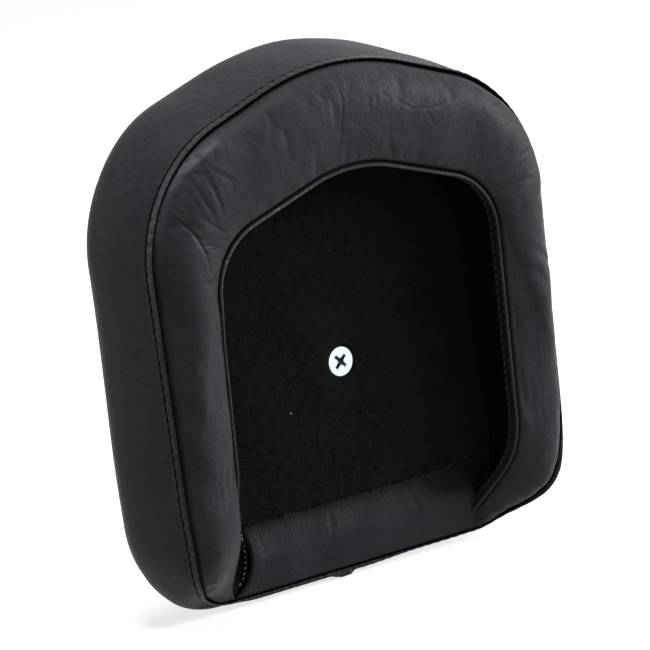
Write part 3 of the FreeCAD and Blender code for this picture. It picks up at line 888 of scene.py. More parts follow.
@dataclass(frozen=True)
class Inflation:
    """A short cloth simulation that swells a sheet between its sewn edges, run on a coarse copy ten times as large."""

    frames: int = 20
    enlarged: float = 10.0
    pressure: float = 4.0
    slack: float = 0.03
    mass: float = 0.02
    limit: float = 0.8
    step: int = 3
    smoothing: tuple[float, ...] = (0.1, 0.2, 0.4, 0.2, 0.1)

    def swell(self, name: str, sheet: Array) -> Array:
        """Lets a coarse copy of the sheet swell with all its edges held, and reads how far each point moved.

        Args:
            name: The copy's name while it is simulated.
            sheet: The grid (rows, columns, 3) in mm.
        """
        rows, cols = sheet.shape[:2]
        r, c = (np.linspace(0, n - 1, (n - 1) // self.step + 1).round().astype(int) for n in (rows, cols))
        coarse = sheet[np.ix_(r, c)]
        held = np.ones(coarse.shape[:2], bool)
        held[1:-1, 1:-1] = False
        faces = list(grid_faces(len(r), len(c), False, False))
        copy = new_object(name, coarse.reshape(-1, 3) * self.enlarged, faces)
        copy.vertex_groups.new(name="held").add(np.flatnonzero(held).tolist(), 1.0, "REPLACE")
        cloth = copy.modifiers.new("Cloth", "CLOTH")
        cloth.settings.vertex_group_mass = "held"
        cloth.settings.mass = self.mass
        cloth.settings.use_pressure = True
        cloth.settings.uniform_pressure_force = self.pressure
        cloth.settings.shrink_min = -self.slack
        cloth.settings.effector_weights.gravity = 0.0
        cloth.point_cache.frame_end = self.frames
        for frame_number in range(1, self.frames + 1):
            bpy.context.scene.frame_set(frame_number)
        shape = copy.evaluated_get(bpy.context.evaluated_depsgraph_get()).data
        points = np.empty(len(shape.vertices) * 3, np.float32)
        shape.vertices.foreach_get("co", points)
        moved = points.reshape(coarse.shape).astype(float) / (self.enlarged * MM) - coarse
        mesh = copy.data
        bpy.data.objects.remove(copy, do_unlink=True)
        bpy.data.meshes.remove(mesh)
        bpy.context.scene.frame_set(1)
        size = np.linalg.norm(moved, axis=-1, keepdims=True)
        LOG.info("%s: %d points simulated, moved %.2f mm at most", name, held.size, size.max())
        moved = moved * self.limit / (self.limit + size)
        return self.refined(self.refined(moved, r, rows).transpose(1, 0, 2), c, cols).transpose(1, 0, 2)

    def refined(self, values: Array, marks: Array, count: int) -> Array:
        """Spreads values from a few rows to all rows: straight between the marks, then averaged over nearby rows.

        Args:
            values: Values (marks, columns, 3).
            marks: The rows that they belong to.
            count: Number of rows wanted.

        Returns:
            Values (count, columns, 3).
        """
        place = np.interp(np.arange(count), marks, np.arange(len(marks)))
        low = np.minimum(place.astype(int), len(marks) - 2)
        share = (place - low)[:, None, None]
        full = values[low] * (1.0 - share) + values[low + 1] * share
        wide = len(self.smoothing) // 2
        padded = np.concatenate([full[:1]] * wide + [full] + [full[-1:]] * wide)
        return sum(w * padded[i:i + count] for i, w in enumerate(self.smoothing))


# Creases and stitches

@dataclass(frozen=True)
class Crease:
    """A line pressed into the vinyl, with a low ridge beside it; a negative depth raises it instead."""

    points: tuple[Point, ...]
    depth: float
    width: float = 0.9
    ridge: float = 0.25

    def height(self, x: Array, z: Array) -> Array:
        """Minus depth times a bell across the line, plus a wider and lower bell beside it, fading at the ends.

        Args:
            x: Points' x in mm.
            z: Points' z in mm.

        Returns:
            The height added at each point, in mm.
        """
        best = np.full_like(x, 1e9)
        place = np.zeros_like(x)
        runs = len(self.points) - 1
        for i in range(runs):
            gap, share = segment_distance(x, z, self.points[i], self.points[i + 1])
            near = gap < best
            best = np.where(near, gap, best)
            place = np.where(near, (i + share) / runs, place)
        fade = np.sin(np.pi * np.clip(place * 0.86 + 0.07, 0.0, 1.0)) ** 0.7
        beyond = bell(best, self.width)
        shoulder = bell(best - 2.0 * self.width, 1.1 * self.width) * self.ridge
        return self.depth * fade * (shoulder - beyond)


def creased_height(creases: Sequence[Crease], x: Array, z: Array) -> Array:
    """The heights of several creases together, in mm."""
    return sum((crease.height(x, z) for crease in creases), np.zeros_like(x))


@dataclass(frozen=True)
class StitchRow:
    """A row of short threads that follow a line."""

    name: str
    length: float
    pitch: float
    radius: float
    sink: float = 0.0
    sides: int = 6
    rings: int = 5
    reach: float = 0.4
    flat: float = 0.75

    def build(self, line: Array, outward: Array) -> bpy.types.Object:
        """Each thread is an ellipsoid: rings of radius r sqrt(1 - t squared) along the line's direction.

        Args:
            line: Dense points (n, 3) of the row, in mm.
            outward: Directions (n, 3) away from the cloth.

        Returns:
            All threads as one object.
        """
        run = np.concatenate([[0.0], np.cumsum(np.linalg.norm(np.diff(line, axis=0), axis=1))])
        count = max(int(run[-1] / self.pitch), 2)
        places = (np.arange(count) + 0.5) * run[-1] / count

        def read(where: Array, values: Array) -> Array:
            """Values (n, 3) at distances along the line."""
            return np.stack([np.interp(where, run, values[:, i]) for i in range(3)], 1)

        along = unit(read(places + self.reach, line) - read(places - self.reach, line))
        side = unit(np.cross(along, read(places, outward)))
        up = np.cross(side, along)
        t = np.linspace(-0.96, 0.96, self.rings)
        turn = np.arange(self.sides) * math.tau / self.sides
        swell = self.radius * np.sqrt(1.0 - t ** 2)
        grid = (
            read(places, line)[:, None, None, :]
            + along[:, None, None, :] * (t * self.length / 2)[None, :, None, None]
            + side[:, None, None, :] * (swell[:, None] * np.cos(turn))[None, :, :, None]
            + up[:, None, None, :] * (swell[:, None] * np.sin(turn) * self.flat - self.sink)[None, :, :, None]
        )
        stride = self.rings * self.sides
        starts = (np.arange(count) * stride)[:, None, None]
        ends = np.stack([np.arange(self.sides)[::-1], np.arange(self.sides) + stride - self.sides])
        quads = (grid_faces(self.rings, self.sides, False, True)[None] + starts).reshape(-1, 4)
        caps = (ends[None] + starts).reshape(-1, self.sides)
        return outwards(new_object(self.name, grid.reshape(-1, 3), list(quads) + list(caps)))


# The cushion's cover

@dataclass
class CushionCover:
    """Boxing band with its folded lap, and the crowned front, as one closed skin.

    The lap's table gives (outward offset, depth from the seam, how much painted shade) from its inner wall to its
    stitched edge:
    full painted shade on the inner wall and in the stitched groove.
    """

    palette: Palette
    columns: int = 900
    stitch_pitch: float = 3.1
    pucker_pitch: float = 4.6
    lap_stitch_depth: float = 3.6
    pucker: float = 0.8
    pucker_wave: float = 31.0
    wander: tuple[Point, ...] = ((1.3, 17.0), (0.9, 7.3))
    stitch_scallop: float = 0.13
    pucker_scallop: float = 0.10
    join_start: float = 13.5
    join_end: float = 0.3
    join_height: float = 1.5
    corner_lap: float = 1.7
    foot_lap: float = 0.9
    lap_creased: float = 3.2
    hollow: float = -4.0
    band_rows: int = 30
    round_rows: int = 16
    round_sweep: float = 76.0
    front_seam: float = 38.0
    front_seam_reach: float = 4.2
    front_seam_depth: float = 0.9
    cap_rows: int = 34
    lap: tuple[Triple, ...] = (
        (-0.2, 3.0, 1.0), (-0.1, 2.0, 1.0), (0.0, 1.0, 1.0), (0.08, 0.35, 0.75), (0.22, 0.02, 0.2),
        (0.45, -0.1, 0.0), (0.68, 0.0, 0.0), (0.84, 0.3, 0.0), (0.92, 0.8, 0.0), (0.96, 1.4, 0.0),
        (1.0, 2.0, 0.0), (1.0, 2.5, 0.0), (0.95, 2.85, 0.05), (0.78, 3.05, 0.45), (0.3, 3.18, 1.0),
        (-0.1, 3.34, 1.0), (-0.18, 3.6, 1.0), (-0.1, 3.86, 1.0), (0.3, 4.02, 1.0), (0.72, 4.14, 0.5),
        (0.87, 4.3, 0.0),
    )
    creases: tuple[Crease, ...] = (
        Crease(((74.0, 122.0), (66.0, 124.5), (59.0, 124.0)), 0.22, 1.2),
        Crease(((97.0, 96.0), (92.0, 93.0), (87.9, 89.6)), 0.18, 1.2),
        Crease(((96.5, -66.0), (94.0, -69.5), (90.0, -73.5)), 0.25, 1.6),
    )
    fullness: tuple[Spot, ...] = (
        (98.0, -30.0, 42.0, 1.7),
        (-98.0, -30.0, 42.0, 1.7),
        (80.0, -88.0, 24.0, 3.0),
        (-80.0, -88.0, 24.0, 3.0),
        (62.0, 112.0, 26.0, 1.4),
        (-68.0, 108.0, 24.0, -1.2),
    )
    # Painted highlight on the lap's rounded top, at the upper +X shoulder and at the crown.
    painted_highlight: tuple[Spot, ...] = ((92.0, 76.0, 34.0, 0.55), (-24.0, 128.0, 24.0, 0.60))
    highlight_from: int = 5
    highlight_to: int = 11

    @staticmethod
    def along_foot(z: Array) -> Array:
        """True for the points on the level run under the foot."""
        return z < SHAPE.foot_z + 6.0

    def join(self, x: Array, z: Array) -> Array:
        """The lapped end of the band under the foot: a lump that rises over 6 mm, stays level and drops off short.

        Args:
            x: Points' x in mm.
            z: Points' z in mm.

        Returns:
            How far the lap stands out there, in mm.
        """
        rise = smooth_step((self.join_start - x) / 6.5)
        drop = smooth_step((x - self.join_end) / 2.6)
        return self.join_height * rise * drop * self.along_foot(z)

    def corner_stand(self, x: Array, z: Array) -> Array:
        """Extra stand of the lap and band at the -X foot corner: a bell round the corner, none on the +X side."""
        return self.corner_lap * bell(np.hypot(x + 93.0, z + 68.0), 16.0) * (x < 0.0)

    def fuller(self, x: Array, z: Array, share: Array) -> Array:
        """Extra outward fullness where the stuffing bulges, growing with depth like a sine.

        Args:
            x: Points' x in mm.
            z: Points' z in mm.
            share: From 0 at the seam to 1 at the front round.

        Returns:
            Offsets in mm.
        """
        return spots(x, z, self.fullness) * np.sin(np.pi / 2 * np.clip(share, 0.0, 1.0))

    def build(self) -> None:
        """Makes the skin ring by ring, from the hollow over the lap and the band to the front, and its stitches."""
        distance = np.arange(self.columns) * COVER.length / self.columns
        seam, outward, seam_depth = seam_line(distance)
        base, _ = COVER.at(distance)
        x, z = base.T
        rows: list[Array] = []

        def row(offset: Array, y: Array, inner_scale: float = 1.0) -> None:
            """Adds one ring at an offset from the plain outline, drawn in by a scale about the centre."""
            plane = base + outward * np.broadcast_to(offset, (self.columns,))[:, None]
            centre = np.array([0.0, (SHAPE.crown_apex_z + SHAPE.foot_z) / 2.0])
            rows.append(SHAPE.stood(centre + (plane - centre) * inner_scale, np.broadcast_to(y, (self.columns,))))

        inner_y = SHAPE.board_rear_y - 0.6
        pull = distance + sum(size * np.sin(distance / reach) for size, reach in self.wander)
        pucker = self.pucker * (np.abs(np.sin(pull * math.pi / self.pucker_pitch)) ** 0.6 - 0.6)
        pucker = pucker * (0.65 + 0.35 * np.sin(distance / self.pucker_wave))
        scallop = self.stitch_scallop * np.sin(distance * math.tau / self.stitch_pitch)
        scallop = scallop + self.pucker_scallop * np.sin(pull * math.tau / self.pucker_pitch)
        under_foot = smooth_step((66.0 - x) / 16.0) * smooth_step((x + 34.0) / 30.0) * self.along_foot(z)
        stand = self.corner_stand(x, z) + self.join(x, z) + self.foot_lap * under_foot
        seam_flare = np.einsum("ij,ij->i", seam - base, outward)
        tuck = SHAPE.flare(seam_depth) - seam_flare
        wall = seam_flare - SHAPE.vinyl - 0.1
        for scale in (0.02, 0.5, 0.9):
            row(self.hollow, inner_y, scale)
        row(SHAPE.flare(np.array(inner_y)) - SHAPE.vinyl - 0.2, inner_y)
        for share in (0.25, 0.6, 0.85):
            y = inner_y + (seam_depth - 3.0 - inner_y) * share
            row(np.minimum(wall, SHAPE.flare(y) - SHAPE.vinyl), y)
        lap_rows = slice(len(rows), len(rows) + len(self.lap))
        for offset, depth, _ in self.lap:
            lift = pucker * bell(depth - 1.9, 1.5) if offset > 0.2 else 0.0
            share = smooth_step((offset - 0.1) / 0.5) if depth < 3.1 else 1.0
            row(seam_flare + offset + lift + stand * share, seam_depth - depth - scallop * (depth > 2.7))
        start = seam_depth - self.lap[-1][1]
        for share in np.arange(1, self.band_rows + 1) / self.band_rows:
            y = start + (SHAPE.front_round_y - start) * share
            spread = SHAPE.flare(y) + self.fuller(x, z, share)
            row(spread - tuck * np.exp((y - start) / 3.5) + stand * np.exp((y - start) / 6.0), y)
        full = self.fuller(x, z, 1.0)
        for turn in math.radians(self.round_sweep) * np.arange(1, self.round_rows + 1) / self.round_rows:
            groove = self.front_seam_depth * bell(np.degrees(turn) - self.front_seam, self.front_seam_reach)
            offset = SHAPE.band_flare - SHAPE.front_round * (1.0 - np.cos(turn)) - groove * np.cos(turn) + full
            y = SHAPE.front_round_y - SHAPE.front_round * np.sin(turn) + groove * np.sin(turn)
            row(offset, y)
        for scale in np.linspace(0.965, 0.012, self.cap_rows):
            row(offset, y - SHAPE.front_crown * (1.0 - scale * scale), scale)
        cover = self.skin(self.press(np.stack(rows, 0), outward), lap_rows, x, z)
        self.stitch(seam, outward, seam_depth)

    def skin(self, grid: Array, lap_rows: slice, x: Array, z: Array) -> bpy.types.Object:
        """The closed skin with what its finish reads: painted shade in its crevices, creased vinyl and a painted
        highlight on the lap's top.

        Args:
            grid: Its points (rings, columns, 3) in mm.
            lap_rows: Which rings are the lap's.
            x: The plain outline's x at each column.
            z: The plain outline's z at each column.

        Returns:
            The cover.
        """
        cover = tube_grid("cushion_cover", grid, True)
        # Painted shade: the hollow and the lap's inner wall, the stitched groove and the edge of the band's join.
        join_edge_shade = 0.8 * bell(x - self.join_end - 0.9, 0.45) * self.along_foot(z)
        painted_shade = np.zeros(grid.shape[:2])
        painted_shade[:lap_rows.start] = 1.0
        painted_shade[lap_rows] = np.maximum(np.array(self.lap)[:, 2:], join_edge_shade)
        set_attribute(cover, "painted_shade", painted_shade)
        creased = 0.30 + 0.45 * smooth_step((grid[..., 2] - 60.0) / 50.0)
        creased = creased * smooth_step((16.0 - grid[..., 1]) / 6.0)
        creased[lap_rows] = self.lap_creased
        set_attribute(cover, "creased", creased)
        painted_highlight = np.zeros(grid.shape[:2])
        top = slice(lap_rows.start + self.highlight_from, lap_rows.start + self.highlight_to)
        painted_highlight[top] = spots(grid[top, :, 0], grid[top, :, 2], self.painted_highlight)
        set_attribute(cover, "painted_highlight", painted_highlight)
        return self.palette.present(cover, Finish.VINYL, "vinyl", "side_band", "front_panel", "foam_core")

    def press(self, grid: Array, outward: Array) -> Array:
        """Moves the band in and out by its creases and a slow unevenness, and the front by another.

        Args:
            grid: The skin's points (rings, columns, 3) in mm.
            outward: The band's outward directions (columns, 2).

        Returns:
            The moved points.
        """
        x, y, z = np.moveaxis(grid, -1, 0)
        on_band = smooth_step((6.0 - y + SHAPE.seam_y(z) - SHAPE.seam_height) / 8.0) * smooth_step((y + 26.0) / 6.0)
        height = creased_height(self.creases, x, z) + 0.22 * soft_noise(x + 0.8 * y, z - 0.5 * y, 46.0, 11)
        height = height * on_band * (np.hypot(x, z - 20.0) > 60.0)
        moved = grid + upright(outward)[None] * height[..., None]
        moved[..., 1] += 0.35 * soft_noise(x, z, 70.0, 5) * (y < SHAPE.front_round_y - 12.0)
        return moved

    def stitch(self, seam: Array, outward: Array, depth: Array) -> None:
        """Sews the row beside the lap, in the groove at its edge.

        Args:
            seam: The rear seam's points (n, 2) in mm.
            outward: Its outward directions (n, 2).
            depth: Its depths in mm.
        """
        line = SHAPE.stood(seam + outward * 0.05, depth - self.lap_stitch_depth)
        up = upright(outward)
        row = StitchRow("lap_stitches", 2.3, self.stitch_pitch, 0.22)
        piece = row.build(np.vstack([line, line[:1]]), np.vstack([up, up[:1]]))
        self.palette.present(piece, Finish.BLACK_THREAD, "vinyl")


# The padded rim

class RimPath:
    """Matched points along the seam and along the rim's inner edge, from the +X foot over the crown to the -X foot."""

    samples: int = 4000
    easing: int = 30

    def __init__(self, count: int, foot_share: float = 0.97) -> None:
        """Pairs the two lines at equal shares of each half, eased between their corners.

        Args:
            count: Number of stations.
            foot_share: How far round the foot's corner the rim goes.
        """
        ring = np.linspace(0.0, COVER.length, self.samples, endpoint=False)
        points, outward = COVER.at(ring)
        turn = np.arctan2(outward[:, 1], outward[:, 0])

        def facing(near: Array, angle: float) -> float:
            """Distance along the outline, among the near points, where it faces an angle."""
            return float(ring[near][np.argmin(np.abs(turn[near] - angle))])

        right = points[:, 0] > 0.0
        start = facing(right & (points[:, 1] < -40.0), -math.pi / 2.0 * foot_share)
        end = ring[np.argmin(np.hypot(points[:, 0], points[:, 1] - 200.0))]
        span = (start - end) % COVER.length
        shoulder = (start - facing(right & (points[:, 1] > -60.0), math.radians(-2.0))) % COVER.length
        top = MOUTH.length / 2.0
        side = (MOUTH.run < top) & (MOUTH.line[:, 1] > -45.0)
        turned = np.degrees(np.arctan2(np.sin(MOUTH.heading), np.cos(MOUTH.heading)))
        mouth_shoulder = MOUTH.run[side][np.argmax(turned[side] > 2.0)]
        marks_seam = [0.0, 26.0, 56.0, min(shoulder, span), span - 62.0, span]
        marks_mouth = [0.0, 22.0, 44.0, mouth_shoulder, top - 58.0, top]
        t = np.linspace(0.0, span, count // 2 + 1)
        paired = self.eased(np.interp(t, marks_seam, marks_mouth))
        paired[0], paired[-1] = 0.0, top
        seam, seam_out, seam_y = seam_line((start - t) % COVER.length)
        mouth, mouth_out = MOUTH.at(paired)
        self.seam, self.seam_out, self.seam_y = self.whole(seam), self.whole(seam_out), self.whole(seam_y)
        self.mouth, self.mouth_out = self.whole(mouth), self.whole(mouth_out)
        self.mouth_y = SHAPE.mouth_y(self.mouth[:, 1])
        self.width = np.hypot(*(self.mouth - self.seam).T)

    def eased(self, values: Array) -> Array:
        """A line of values averaged under a raised cosine, carried on past its ends by point reflection.

        Args:
            values: The values in turn.

        Returns:
            As many averaged values.
        """
        n = self.easing
        window = np.hanning(2 * n + 1)
        before, after = 2 * values[0] - values[n:0:-1], 2 * values[-1] - values[-2:-n - 2:-1]
        return np.convolve(np.concatenate([before, values, after]), window / window.sum(), "valid")

    @staticmethod
    def whole(half: Array) -> Array:
        """The +X half joined to its mirror image; depths have no side."""
        image = half * np.array([-1.0, 1.0]) if half.ndim == 2 else half
        return np.concatenate([half, image[-2::-1]])


@dataclass
class PaddedRim:
    """The horseshoe that turns in over the channel, its folded hem and its facing.

    The hem's table gives (inset from the mouth, depth, how pale) round its folded edge and down its facing; the
    paleness is a painted highlight on the nose with flecks of backing.
    """

    palette: Palette
    path: RimPath
    across: int = 64
    bulge: float = 6.6
    foot_ease: float = 0.55
    power: float = 0.64
    power_drop: float = 0.10
    hem_stitch_row: int = 12
    creased: tuple[Spot, ...] = ((76.0, 84.0, 24.0, 0.8), (2.0, 106.0, 26.0, 0.8))
    creases: tuple[Crease, ...] = (
        Crease(
            ((7.6, 122.7), (4.1, 118.2), (3.9, 111.4), (4.5, 106.9), (5.8, 101.5), (6.1, 96.3), (8.5, 91.1)), 0.34, 0.5,
        ),
        Crease(((1.6, 121.8), (-0.7, 118.3), (-0.7, 113.7)), 0.25, 0.7),
        Crease(((16.7, 116.9), (14.0, 113.9), (12.1, 111.9)), 0.22, 0.7),
        Crease(((9.5, 116.0), (8.8, 108.0), (10.5, 99.0)), 0.16, 0.9),
        Crease(((13.5, 110.0), (13.0, 103.0), (14.0, 97.0)), 0.12, 0.9),
        Crease(((-12.5, 112.5), (-12.5, 106.3), (-9.6, 101.6)), 0.2, 0.6),
        Crease(((-16.6, 109.7), (-18.7, 106.2)), 0.2, 0.8),
        Crease(((-9.0, 108.5), (-8.2, 102.0)), 0.14, 0.8),
        Crease(
            (
                (-24.0, 104.5), (-30.2, 100.3), (-37.9, 99.1), (-44.5, 98.9), (-50.6, 100.1), (-55.9, 99.9),
                (-63.1, 99.0),
            ), 0.26, 0.6,
        ),
        Crease(((-37.5, 98.0), (-39.0, 94.0), (-41.0, 90.9)), 0.16, 0.8),
        Crease(((-24.6, 91.5), (-22.0, 89.0), (-19.0, 86.8)), 0.16, 0.7),
        Crease(((73.1, 97.5), (71.1, 87.5), (67.6, 76.9)), 0.34, 1.0),
        Crease(((71.3, 96.8), (66.0, 92.0), (61.1, 88.6)), 0.24, 1.0),
        Crease(((78.4, 91.3), (75.2, 82.2), (70.9, 73.7)), 0.26, 0.9),
        Crease(((81.0, 88.5), (78.6, 80.0)), 0.16, 0.9),
        Crease(((87.9, 83.3), (85.0, 78.1)), 0.24, 0.8),
        Crease(((93.1, 82.8), (87.0, 77.7), (81.6, 70.5), (78.1, 62.9), (76.2, 54.1)), 0.42, 0.8),
        Crease(((74.3, 102.6), (71.8, 98.3)), 0.3, 0.9),
        Crease(((50.1, 105.6), (46.3, 99.5)), 0.16, 0.8),
        Crease(((55.5, 103.0), (53.0, 98.5)), 0.12, 0.8),
        Crease(((16.9, 118.5), (12.0, 113.0)), 0.2, 0.8),
        Crease(
            ((93.5, 80.0), (90.9, 87.7), (82.7, 93.6), (70.6, 99.6), (56.7, 105.3), (41.8, 110.9), (22.0, 116.4)),
            -0.55, 2.2, 0.0,
        ),
    )
    roll: Crease = Crease(
        (
            (95.9, 70.0), (94.6, 75.2), (92.6, 80.4), (88.4, 87.6), (82.0, 94.0), (74.8, 99.0), (68.2, 102.4),
            (62.6, 105.0),
        ), -0.9, 1.5, 0.0,
    )
    hem: tuple[Triple, ...] = (
        (-1.0, -2.0, 0.0), (0.2, -1.9, 0.0), (0.75, -1.6, 0.0), (1.1, -0.9, 0.0), (1.25, -0.3, 0.3),
        (1.42, 0.2, 0.9), (1.75, 0.52, 1.0), (2.15, 0.56, 1.0), (2.5, 0.4, 1.0), (2.72, 0.0, 0.7),
        (2.78, -0.6, 0.15), (2.65, -2.0, 0.0), (2.45, -3.8, 0.0), (2.3, -5.4, 0.0), (1.95, -5.9, 0.0),
        (1.5, -5.6, 0.0), (1.4, -4.0, 0.0), (1.0, -2.9, 0.0), (-0.9, -2.7, 0.0),
    )

    def surface(self, t: Array) -> Array:
        """The rim's outside: the chord from seam to edge, raised by bulge times sin(pi t to a power).

        The power falls on the -X side, so that the swelling's top lies nearer the seam there.

        Args:
            t: Shares across, from 0 at the seam to 1 at the inner edge.

        Returns:
            A grid (stations, len(t), 3) in mm.
        """
        p = self.path
        eased = 1.0 - self.foot_ease * smooth_step((-5.0 - p.seam[:, 1]) / 62.0)
        power = self.power - self.power_drop * smooth_step((-20.0 - p.seam[:, 0]) / 40.0)
        rise = (np.minimum(self.bulge, 0.26 * p.width) * eased)[:, None] * np.sin(np.pi * t[None, :] ** power[:, None])
        seam = p.seam - p.seam_out * 0.75
        plane = seam[:, None, :] + (p.mouth - seam)[:, None, :] * t[None, :, None]
        low = np.minimum(2.4, 0.3 * p.width)[:, None] * (1.0 - smooth_step(t / 0.035))[None, :]
        y = p.seam_y[:, None] + (p.mouth_y - p.seam_y)[:, None] * t[None, :] + rise - low
        edge = (1.0 - t)[None, :] * p.width[:, None]
        y = y + 0.7 * smooth_step(t / 0.5)[None, :] - 0.9 * np.clip(1.0 - edge / 1.6, 0.0, 1.0) ** 2
        return SHAPE.stood(plane, y)

    def build(self) -> None:
        """Makes the padded horseshoe, its hem and their stitches."""
        p = self.path
        t = np.linspace(0.0, 1.0, self.across) ** 1.15
        top = self.surface(t)
        top = top + Inflation().swell("rim_sheet", top)
        x, z = top[..., 0], top[..., 2]
        ease = smooth_step(t / 0.04) * smooth_step((1.0 - t) / 0.08)
        height = creased_height((*self.creases, self.roll), x, z)
        height = height + 0.16 * soft_noise(x, z, 30.0, 3) + 0.045 * soft_noise(x, z, 9.0, 8)
        top[..., 1] += height * ease + self.gather(t)
        drop = top[:, -1:].copy()
        drop[..., 1] -= np.minimum(2.6, 0.25 * p.width)[:, None]
        inner = self.surface(np.array([0.985, 0.9, 0.6, 0.3, 0.08]))
        inner[..., 1] -= np.minimum(3.4, 0.4 * p.width)[:, None] + 0.4
        inner[:, 0, 1] = drop[:, 0, 1] - 0.1
        profile = np.concatenate([top, drop, inner], 1)
        rim = tube_grid("padded_rim", profile, True)
        px, pz = profile[..., 0], profile[..., 2]
        crown = smooth_step((20.0 - px) / 20.0) * smooth_step((px + 84.0) / 20.0) * smooth_step((pz - 78.0) / 16.0)
        set_attribute(rim, "creased", np.clip(0.16 + spots(px, pz, self.creased) + 0.6 * crown, 0.0, 1.0))
        # Painted highlight along the rounded roll beside the seam.
        set_attribute(rim, "painted_highlight", 0.88 * Crease(self.roll.points, -1.0, 1.25, 0.0).height(px, pz))
        self.palette.present(rim, Finish.VINYL, "vinyl", "rim_panel", "rim_foam")
        self.build_hem()
        self.build_allowance()

    def build_allowance(self) -> None:
        """The seam allowance that closes the gap underneath: a flat band carried round the cover's seam."""
        distance = np.arange(600) * COVER.length / 600
        seam, outward, depth = seam_line(distance)
        rows = []
        for offset, sink in ((0.25, 2.9), (0.25, 4.2), (-3.6, 4.2), (-3.6, 2.5)):
            y = np.maximum(depth - sink, SHAPE.board_rear_y + 0.9 - 0.16 * sink)
            rows.append(SHAPE.stood(seam + outward * offset, y))
        allowance = tube_grid("seam_allowance", np.stack(rows, 1), False)
        self.palette.present(allowance, Finish.LINING, "vinyl")

    def gather(self, t: Array) -> Array:
        """Small gathers out of the seam: a wave along the path that dies away within a few mm.

        Args:
            t: Shares across, from 0 at the seam to 1 at the inner edge.

        Returns:
            Heights (stations, len(t)) in mm.
        """
        p = self.path
        run = run_of(p.seam)
        wave = np.sin(run * math.tau / 6.2 + 1.7 * np.sin(run / 23.0)) * (0.5 + 0.5 * np.sin(run / 41.0))
        a = t[None, :] * p.width[:, None]
        return 0.16 * wave[:, None] * bell(a - 3.0, 2.6)

    def build_hem(self) -> None:
        """The folded edge that shows inside the rim's edge, and its facing going down into the pocket."""
        p = self.path
        shut = np.clip(p.width / 14.0, 0.25, 1.0)
        inward = -p.mouth_out
        left = p.mouth[:, 0] > 0.0
        under = 0.9 * smooth_step((44.0 - p.mouth[:, 1]) / 20.0) + 1.7 * smooth_step((-26.0 - p.mouth[:, 1]) / 16.0)
        under = under * left
        grid = np.stack([
            SHAPE.stood(p.mouth + inward * (inset - under)[:, None], p.mouth_y + depth * shut)
            for inset, depth, _ in self.hem
        ], 1)
        hem = tube_grid("mouth_hem", grid, True)
        # Painted highlight on the nose, strongest on the slanted +X run where the light falls and faint elsewhere.
        slanted = smooth_step((p.mouth[:, 0] - 4.0) / 30.0) * smooth_step((p.mouth[:, 1] - 30.0) / 26.0)
        lit = 0.08 + 0.62 * slanted + 0.10 * smooth_step((p.mouth[:, 1] + 45.0) / 30.0)
        set_attribute(hem, "nose_highlight_and_backing", np.array(self.hem)[None, :, 2] * lit[:, None])
        self.palette.present(hem, Finish.HEM, "vinyl", "rim_facing")
        keep = slice(30, len(grid) - 30)
        line, up = grid[keep, self.hem_stitch_row], upright(inward)[keep]
        piece = StitchRow("hem_stitches", 2.4, 3.4, 0.26).build(line + up * 0.1, up)
        self.palette.present(piece, Finish.BLACK_THREAD, "vinyl")


# The pocket behind the rim

